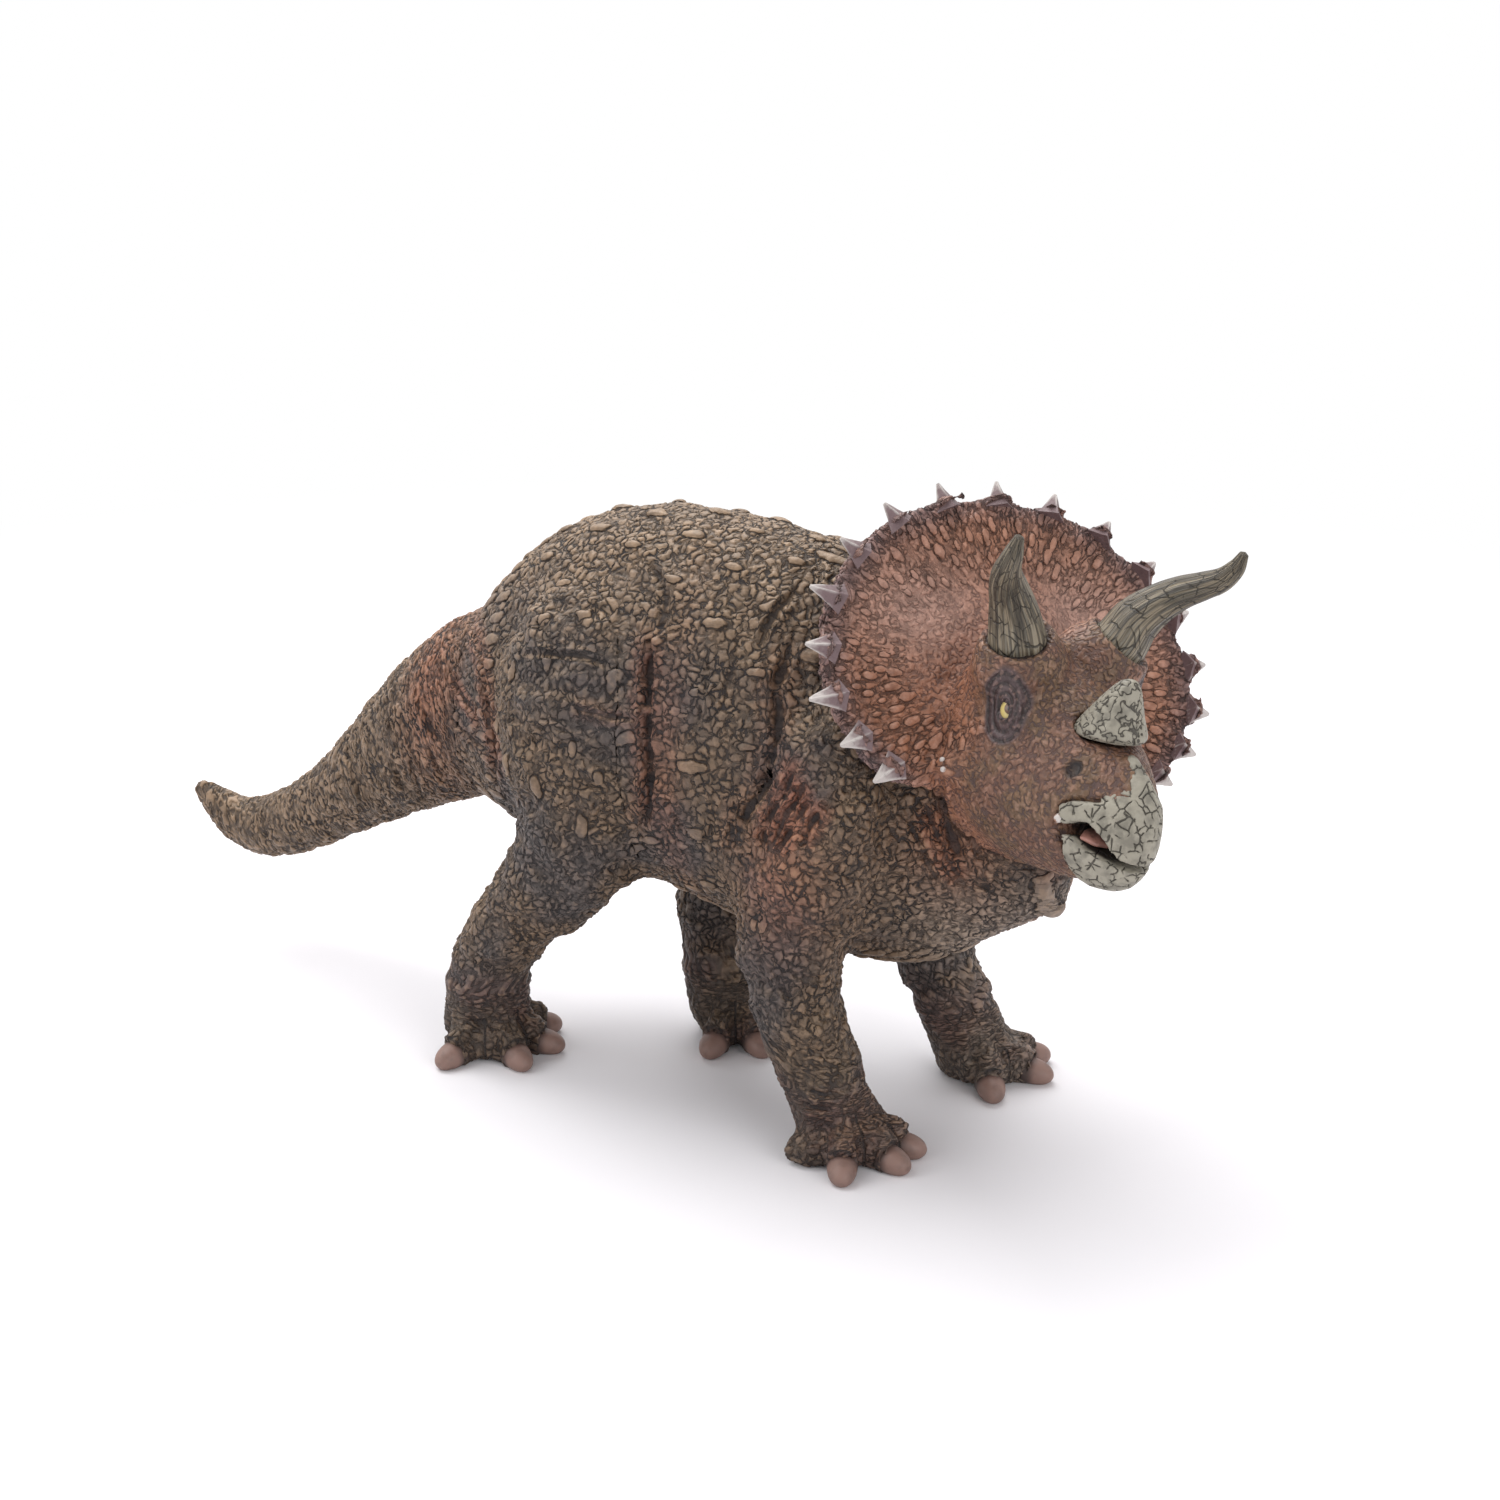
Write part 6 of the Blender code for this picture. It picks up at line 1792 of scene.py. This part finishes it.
def make_brow_horn(side, material):
    """A long curved horn, oval across, with a groove down its length."""
    sign = SIDES[side]
    base = Vector((HORN_BASE[0], sign * HORN_BASE[1], HORN_BASE[2]))
    knots, radii = [], []
    for sweep, splay, rise, radius in HORN_SHARES:
        knots.append(
            base + Vector((sweep * HORN_STEP[0], sign * splay * HORN_STEP[1], rise * HORN_STEP[2]))
        )
        radii.append(radius * HORN_RADIUS)
    between = 16
    line = curved_line(knots, between)
    around = 72
    points, wraps, furrows = [], [], []
    run = 0.0
    frame_side = Vector((0.0, 1.0, 0.0))
    for i, centre in enumerate(line):
        before, after = line[max(i - 1, 0)], line[min(i + 1, len(line) - 1)]
        ahead = (after - before).normalized()
        frame_side = (frame_side - ahead * frame_side.dot(ahead)).normalized()
        other = ahead.cross(frame_side)
        if i:
            run += (centre - line[i - 1]).length
        spot = i / between
        low = min(int(spot), len(radii) - 2)
        radius = radii[low] + (radii[low + 1] - radii[low]) * (spot - low)
        for k in range(around):
            t = math.tau * k / around
            # One deep fold winds down the front of the horn
            middle = 4.55 if sign < 0 else 5.1
            turn = math.cos(t - middle - 22.0 * (run - 0.008))
            reach = math.sin(math.pi * min(max((run - 0.001) / 0.021, 0.0), 1.0)) ** 0.5
            dent = math.exp(-(((turn - 1.0) / 0.05) ** 2)) * reach
            furrows.append(dent)
            ridge = 0.018 * math.sin(9.0 * t + 90.0 * run) + 0.012 * math.sin(23.0 * t - 50.0 * run)
            size = radius * (1.0 + ridge - 0.14 * dent)
            points.append(
                HEAD @ (centre + frame_side * size * math.cos(t) + other * size * math.sin(t))
            )
            wraps.append((math.cos(t), math.sin(t), run / HORN_RADIUS))
    bm = bmesh.new()
    verts = [bm.verts.new(p) for p in points]
    rows = len(line)
    for i in range(rows - 1):
        for k in range(around):
            n = (k + 1) % around
            a, b = i * around, (i + 1) * around
            bm.faces.new((verts[a + k], verts[a + n], verts[b + n], verts[b + k]))
    tips = []
    for row, direction in ((0, line[0] - line[1]), (rows - 1, line[-1] - line[-2])):
        reach = direction.normalized() * (radii[-1] * 0.6 if row else 0.0)
        tip = bm.verts.new(HEAD @ (line[row] + reach))
        tips.append(wraps[row * around][2])
        for k in range(around):
            n = (k + 1) % around
            bm.faces.new((verts[row * around + k], verts[row * around + n], tip))
    bmesh.ops.recalc_face_normals(bm, faces=bm.faces)
    mesh = bpy.data.meshes.new(f"horn_{side}")
    bm.to_mesh(mesh)
    bm.free()
    set_values(mesh, "wrap", np.array([*wraps, *((0.0, 0.0, value) for value in tips)]))
    set_values(mesh, "furrow", np.array([*furrows, 0.0, 0.0]))
    mesh.shade_smooth()
    mesh.materials.append(material)
    declare(link(mesh.name, mesh), [f"brow_horn_{side}"])


def crust_material():
    """Grey-green horn of beak and nose, dark in its cracks."""
    tone = paints()
    material, web, shader = plain_material("beak_paint", tone.beak, 0.50)
    rest = web.attribute("rest", "FLOAT_VECTOR")
    crack, cell = crust_cracks(web, rest, web.attribute("rest_normal", "FLOAT_VECTOR"))
    own = web.add("ShaderNodeSeparateColor", {"Color": cell}).outputs[0]
    cloud = web.noise(rest, 420.0, 4.0)
    darker = [value * 0.60 for value in tone.beak]
    base = web.tint(tone.beak, darker, web.step(cloud, 0.44, 0.66))
    base = web.tint(base, darker, web.math("MULTIPLY", own, 0.25))
    base = web.tint(base, tone.crack, web.math("MULTIPLY", crack, 0.80))
    # Faces inside the mouth are painted with shade
    base = web.tint(base, [value * 0.6 for value in tone.crack], web.attribute("mouth"))
    web.feed(shader.inputs["Base Color"], base)
    height = web.math("MULTIPLY", web.noise(rest, 1100.0, 3.0), 0.00022)
    height = web.math("SUBTRACT", height, web.math("MULTIPLY", crack, 0.00025))
    bump(web, shader, height)
    return material


def crust_cracks(web, rest, normal):
    """Short cracks that seldom meet on the beak, and a maze of them on the nose horn."""
    maze = web.attribute("maze")
    place = web.shift(rest, 0.0010, 420.0)
    edge, cell = web.cells(place, normal, 1.0 / 0.0020)
    dash = web.math("SUBTRACT", 1.0, web.step(edge, 0.02, 0.085))
    dash = web.math("MULTIPLY", dash, web.step(web.noise(rest, 560.0, 1.0), 0.42, 0.52))
    strokes = web.noise(web.shift(rest, 0.0010, 500.0), 640.0, 1.0)
    worm = web.step(web.math("ABSOLUTE", web.math("SUBTRACT", strokes, 0.5)), 0.036, 0.014)
    return web.blend(dash, worm, maze), cell


def crust_tree(material):
    """Cracks pressed into horn."""
    settings = {"Depth": 0.00026, "Paint": material}
    tree, web, group_in, group_out = new_geometry_tree("Cracked horn", settings)
    rest = web.attribute("rest", "FLOAT_VECTOR")
    normal = web.attribute("rest_normal", "FLOAT_VECTOR")
    crack, _ = crust_cracks(web, rest, normal)
    height = web.math("MULTIPLY", crack, web.math("MULTIPLY", group_in.outputs["Depth"], -1.0))
    moved = web.add("GeometryNodeSetPosition")
    web.feed(moved.inputs["Geometry"], group_in.outputs["Geometry"])
    web.feed(moved.inputs["Offset"], web.vector("SCALE", normal, height))
    finished(web, moved.outputs[0], group_in.outputs["Paint"], group_out)
    return tree, settings


def make_crust(node, tree, settings, grid, rounds):
    """A cracked horn piece grown on its solid."""
    obj = voxel_form([node], grid, 0.0001)
    shape = Surface(obj.data)
    shape.keep_largest()
    shape.smooth(np.full(len(shape.points), 0.5), rounds)
    facing = shape.normals()
    local = to_head(shape.points)
    if node == "nose_horn":
        # The foot of the nose horn is broad and flat in front
        low = 1.0 - step(local[:, 2], 0.0130, 0.0175)
        push = 0.0012 * low * step(local[:, 0], 0.0310, 0.0345)
        shape.points += HEAD_AHEAD * push[:, None]
        raised = 0.0002 * (1.0 - step(local[:, 2], 0.0120, 0.0150))
        shape.points += HEAD_UP * raised[:, None]
    if node == "upper_beak":
        # Its upper edge runs to a point in the middle
        aside = np.clip((np.abs(local[:, 1]) - 0.0006) / 0.0060, 0.0, 1.0)
        drop = np.maximum(local[:, 2] - 0.0035, 0.0) * 0.80 * aside
        shape.points -= HEAD_UP * drop[:, None]
        shape.smooth(0.5 * step(local[:, 2], 0.0020, 0.0045), 6)
    # The horn stands a little proud of the skin; the faces inside the mouth are painted with shade
    rise = facing @ HEAD_UP
    proud = 0.0004 if node == "upper_beak" else 0.0002
    shape.points += (facing - rise[:, None] * HEAD_UP) * proud
    half = 0.0091 - (local[:, 0] - 0.0335) * 0.82
    inner = step(half - np.abs(local[:, 1]), 0.0006, 0.0013)
    inner *= 1.0 - step(local[:, 0], 0.0385, 0.0408)
    turned = {"upper_beak": -rise, "lower_beak": rise}.get(node, np.zeros(len(rise)))
    mouth = step(turned, 0.25, 0.60) * inner
    maze = np.full(len(shape.points), 1.0 if node == "nose_horn" else 0.0)
    values = {"rest": shape.points, "rest_normal": facing, "maze": maze, "mouth": mouth}
    obj.data = mesh_from(node, shape.points, shape.faces, NO_TRIANGLES, values)
    grow(obj, tree, settings)
    obj.data.shade_smooth()
    obj.name = f"{node}_horn"
    obj.data.name = obj.name
    declare(obj, [node])


def make_tongue():
    """The tongue, soft and glossy, with a middle furrow."""
    tone = paints()
    material, web, shader = plain_material("tongue_paint", tone.tongue, 0.30, 0.5)
    place = place_of(web)
    darker = [value * 0.5 for value in tone.tongue]
    base = web.tint(tone.tongue, darker, web.step(web.noise(place, 700.0, 3.0), 0.42, 0.70))
    web.feed(shader.inputs["Base Color"], base)
    bump(web, shader, web.math("MULTIPLY", web.noise(place, 2200.0), 0.00006))
    obj = voxel_form(["tongue"], sizes().hard_mesh, 0.0)
    shape = Surface(obj.data)
    shape.smooth(np.full(len(shape.points), 0.5), 6)
    facing = shape.normals()
    local = to_head(shape.points)
    furrow = np.exp(-((local[:, 1] / 0.0011) ** 2)) * step(facing @ HEAD_UP, 0.1, 0.7)
    # It lies further back in the mouth than its solid, and is wider
    local[:, 0] -= TONGUE_BACK
    local[:, 1] *= TONGUE_WIDENING
    inverse = np.array(HEAD)
    shape.points = local @ inverse[:3, :3].T + inverse[:3, 3]
    shape.points -= facing * (furrow * 0.0003)[:, None]
    obj.data = mesh_from("tongue_flesh", shape.points, shape.faces, NO_TRIANGLES, {})
    obj.data.materials.append(material)
    obj.name = "tongue_flesh"
    declare(obj, ["tongue"])


# Stage


def stage_material():
    """Pale floor that keeps the shadow near the figure and is white further out."""
    material, web, shader = plain_material("floor_paint", paints().floor, 0.9, 0.1)
    place = place_of(web)
    away = web.vector("LENGTH", web.vector("MULTIPLY", place, (1.0, 1.0, 0.0)))
    far = web.step(away, 0.16, 0.42)
    rays = web.add("ShaderNodeLightPath")
    seen = web.math("MAXIMUM", rays.outputs["Is Camera Ray"], rays.outputs["Is Glossy Ray"])
    share = web.math("MULTIPLY", far, seen)
    glow = web.add("ShaderNodeEmission", {"Strength": 1.0})
    glow.inputs["Color"].default_value = (1.0, 1.0, 1.0, 1.0)
    both = web.add("ShaderNodeMixShader")
    web.feed(both.inputs[0], share)
    web.feed(both.inputs[1], shader.outputs[0])
    web.feed(both.inputs[2], glow.outputs[0])
    output = material.node_tree.nodes["Material Output"]
    web.feed(output.inputs["Surface"], both.outputs[0])
    return material


def lamp(name, size, energy, place, target):
    """A soft rectangular lamp that looks at a target."""
    data = bpy.data.lights.new(name, "AREA")
    data.shape = "RECTANGLE"
    data.size, data.size_y = size
    data.energy = energy
    obj = link(name, data)
    obj.location = place
    obj.rotation_euler = (Vector(place) - Vector(target)).to_track_quat("Z", "Y").to_euler()


def make_stage():
    """Floor, soft lamps, white world and the photograph's camera."""
    scene = bpy.context.scene
    scene.view_settings.view_transform = "Standard"
    bm = bmesh.new()
    bmesh.ops.create_circle(bm, cap_ends=True, segments=96, radius=3.0)
    mesh = bpy.data.meshes.new("floor")
    bm.to_mesh(mesh)
    bm.free()
    mesh.materials.append(stage_material())
    floor = link("floor", mesh)
    world = bpy.data.worlds.new("studio")
    scene.world = world
    world.use_nodes = True
    web = Web(world.node_tree)
    background = world.node_tree.nodes["Background"]
    background.inputs["Color"].default_value = (1.0, 0.99, 1.0, 1.0)
    rays = web.add("ShaderNodeLightPath")
    seen = web.math("MAXIMUM", rays.outputs["Is Camera Ray"], rays.outputs["Is Glossy Ray"])
    web.feed(background.inputs["Strength"], web.blend(0.58, 1.0, seen))
    lamp("top_lamp", (0.9, 0.8), 9.5, (-0.34, 0.20, 0.78), (0.0, 0.0, 0.03))
    lamp("left_lamp", (0.6, 0.6), 2.0, (-0.55, -0.60, 0.50), (0.0, 0.0, 0.05))
    lamp("right_lamp", (0.5, 0.5), 2.2, (0.80, -0.35, 0.35), (0.0, 0.0, 0.05))
    data = bpy.data.cameras.new("photo_camera")
    data.sensor_width = 36.0
    data.lens = data.sensor_width * CAMERA_FOCUS / PHOTO_SIZE
    camera = link("photo_camera", data)
    camera.matrix_world = camera_matrix()
    scene.camera = camera


# Operators and panel


class FIGURE_OT_skin(bpy.types.Operator):
    """Grow the scaly skin over trunk, tail, legs and head"""

    bl_idname = "figure.skin"
    bl_label = "Skin"

    def execute(self, context):
        make_skin()
        return {"FINISHED"}


class FIGURE_OT_nails(bpy.types.Operator):
    """Set the nails in the toes"""

    bl_idname = "figure.nails"
    bl_label = "Nails"

    def execute(self, context):
        make_nails()
        return {"FINISHED"}


class FIGURE_OT_eyes(bpy.types.Operator):
    """Set eyes, lids and cheek tubercles in the head"""

    bl_idname = "figure.eyes"
    bl_label = "Eyes"

    def execute(self, context):
        make_eyes()
        return {"FINISHED"}


class FIGURE_OT_spikes(bpy.types.Operator):
    """Stand the pointed scutes round the frill"""

    bl_idname = "figure.spikes"
    bl_label = "Frill spikes"

    def execute(self, context):
        make_spikes()
        return {"FINISHED"}


class FIGURE_OT_horns(bpy.types.Operator):
    """Form the brow horns"""

    bl_idname = "figure.horns"
    bl_label = "Brow horns"

    def execute(self, context):
        material = horn_material()
        for side in SIDES:
            make_brow_horn(side, material)
        return {"FINISHED"}


class FIGURE_OT_beak(bpy.types.Operator):
    """Form nose horn, beak and tongue"""

    bl_idname = "figure.beak"
    bl_label = "Nose horn, beak and tongue"

    def execute(self, context):
        material = crust_material()
        tree, settings = crust_tree(material)
        for node in ("nose_horn", "upper_beak", "lower_beak"):
            make_crust(node, tree, settings, sizes().hard_mesh, 5)
        make_tongue()
        return {"FINISHED"}


class FIGURE_OT_stage(bpy.types.Operator):
    """Lay the floor and set up lamps and camera"""

    bl_idname = "figure.stage"
    bl_label = "Stage"

    def execute(self, context):
        make_stage()
        return {"FINISHED"}


class FIGURE_PT_panel(bpy.types.Panel):
    """Buttons for the pieces, with their sizes and colours"""

    bl_idname = "FIGURE_PT_panel"
    bl_label = "Horned dinosaur"
    bl_space_type = "VIEW_3D"
    bl_region_type = "UI"
    bl_category = "Dinosaur"

    def draw(self, context):
        layout = self.layout
        for operator in OPERATORS:
            layout.operator(operator.bl_idname)
        for group in (context.scene.figure_sizes, context.scene.figure_colours):
            box = layout.box()
            for name in group.__annotations__:
                box.prop(group, name)


OPERATORS = (
    FIGURE_OT_skin,
    FIGURE_OT_nails,
    FIGURE_OT_eyes,
    FIGURE_OT_spikes,
    FIGURE_OT_horns,
    FIGURE_OT_beak,
    FIGURE_OT_stage,
)
CLASSES = (FigureSizes, FigureColours, *OPERATORS, FIGURE_PT_panel)


def register():
    for item in CLASSES:
        bpy.utils.register_class(item)
    bpy.types.Scene.figure_sizes = PointerProperty(type=FigureSizes)
    bpy.types.Scene.figure_colours = PointerProperty(type=FigureColours)


def unregister():
    del bpy.types.Scene.figure_sizes
    del bpy.types.Scene.figure_colours
    for item in reversed(CLASSES):
        bpy.utils.unregister_class(item)


def main():
    """Makes every piece, then the stage."""
    register()
    bpy.ops.figure.skin()
    bpy.ops.figure.nails()
    bpy.ops.figure.eyes()
    bpy.ops.figure.spikes()
    bpy.ops.figure.horns()
    bpy.ops.figure.beak()
    bpy.ops.figure.stage()


if __name__ == "__main__":
    main()
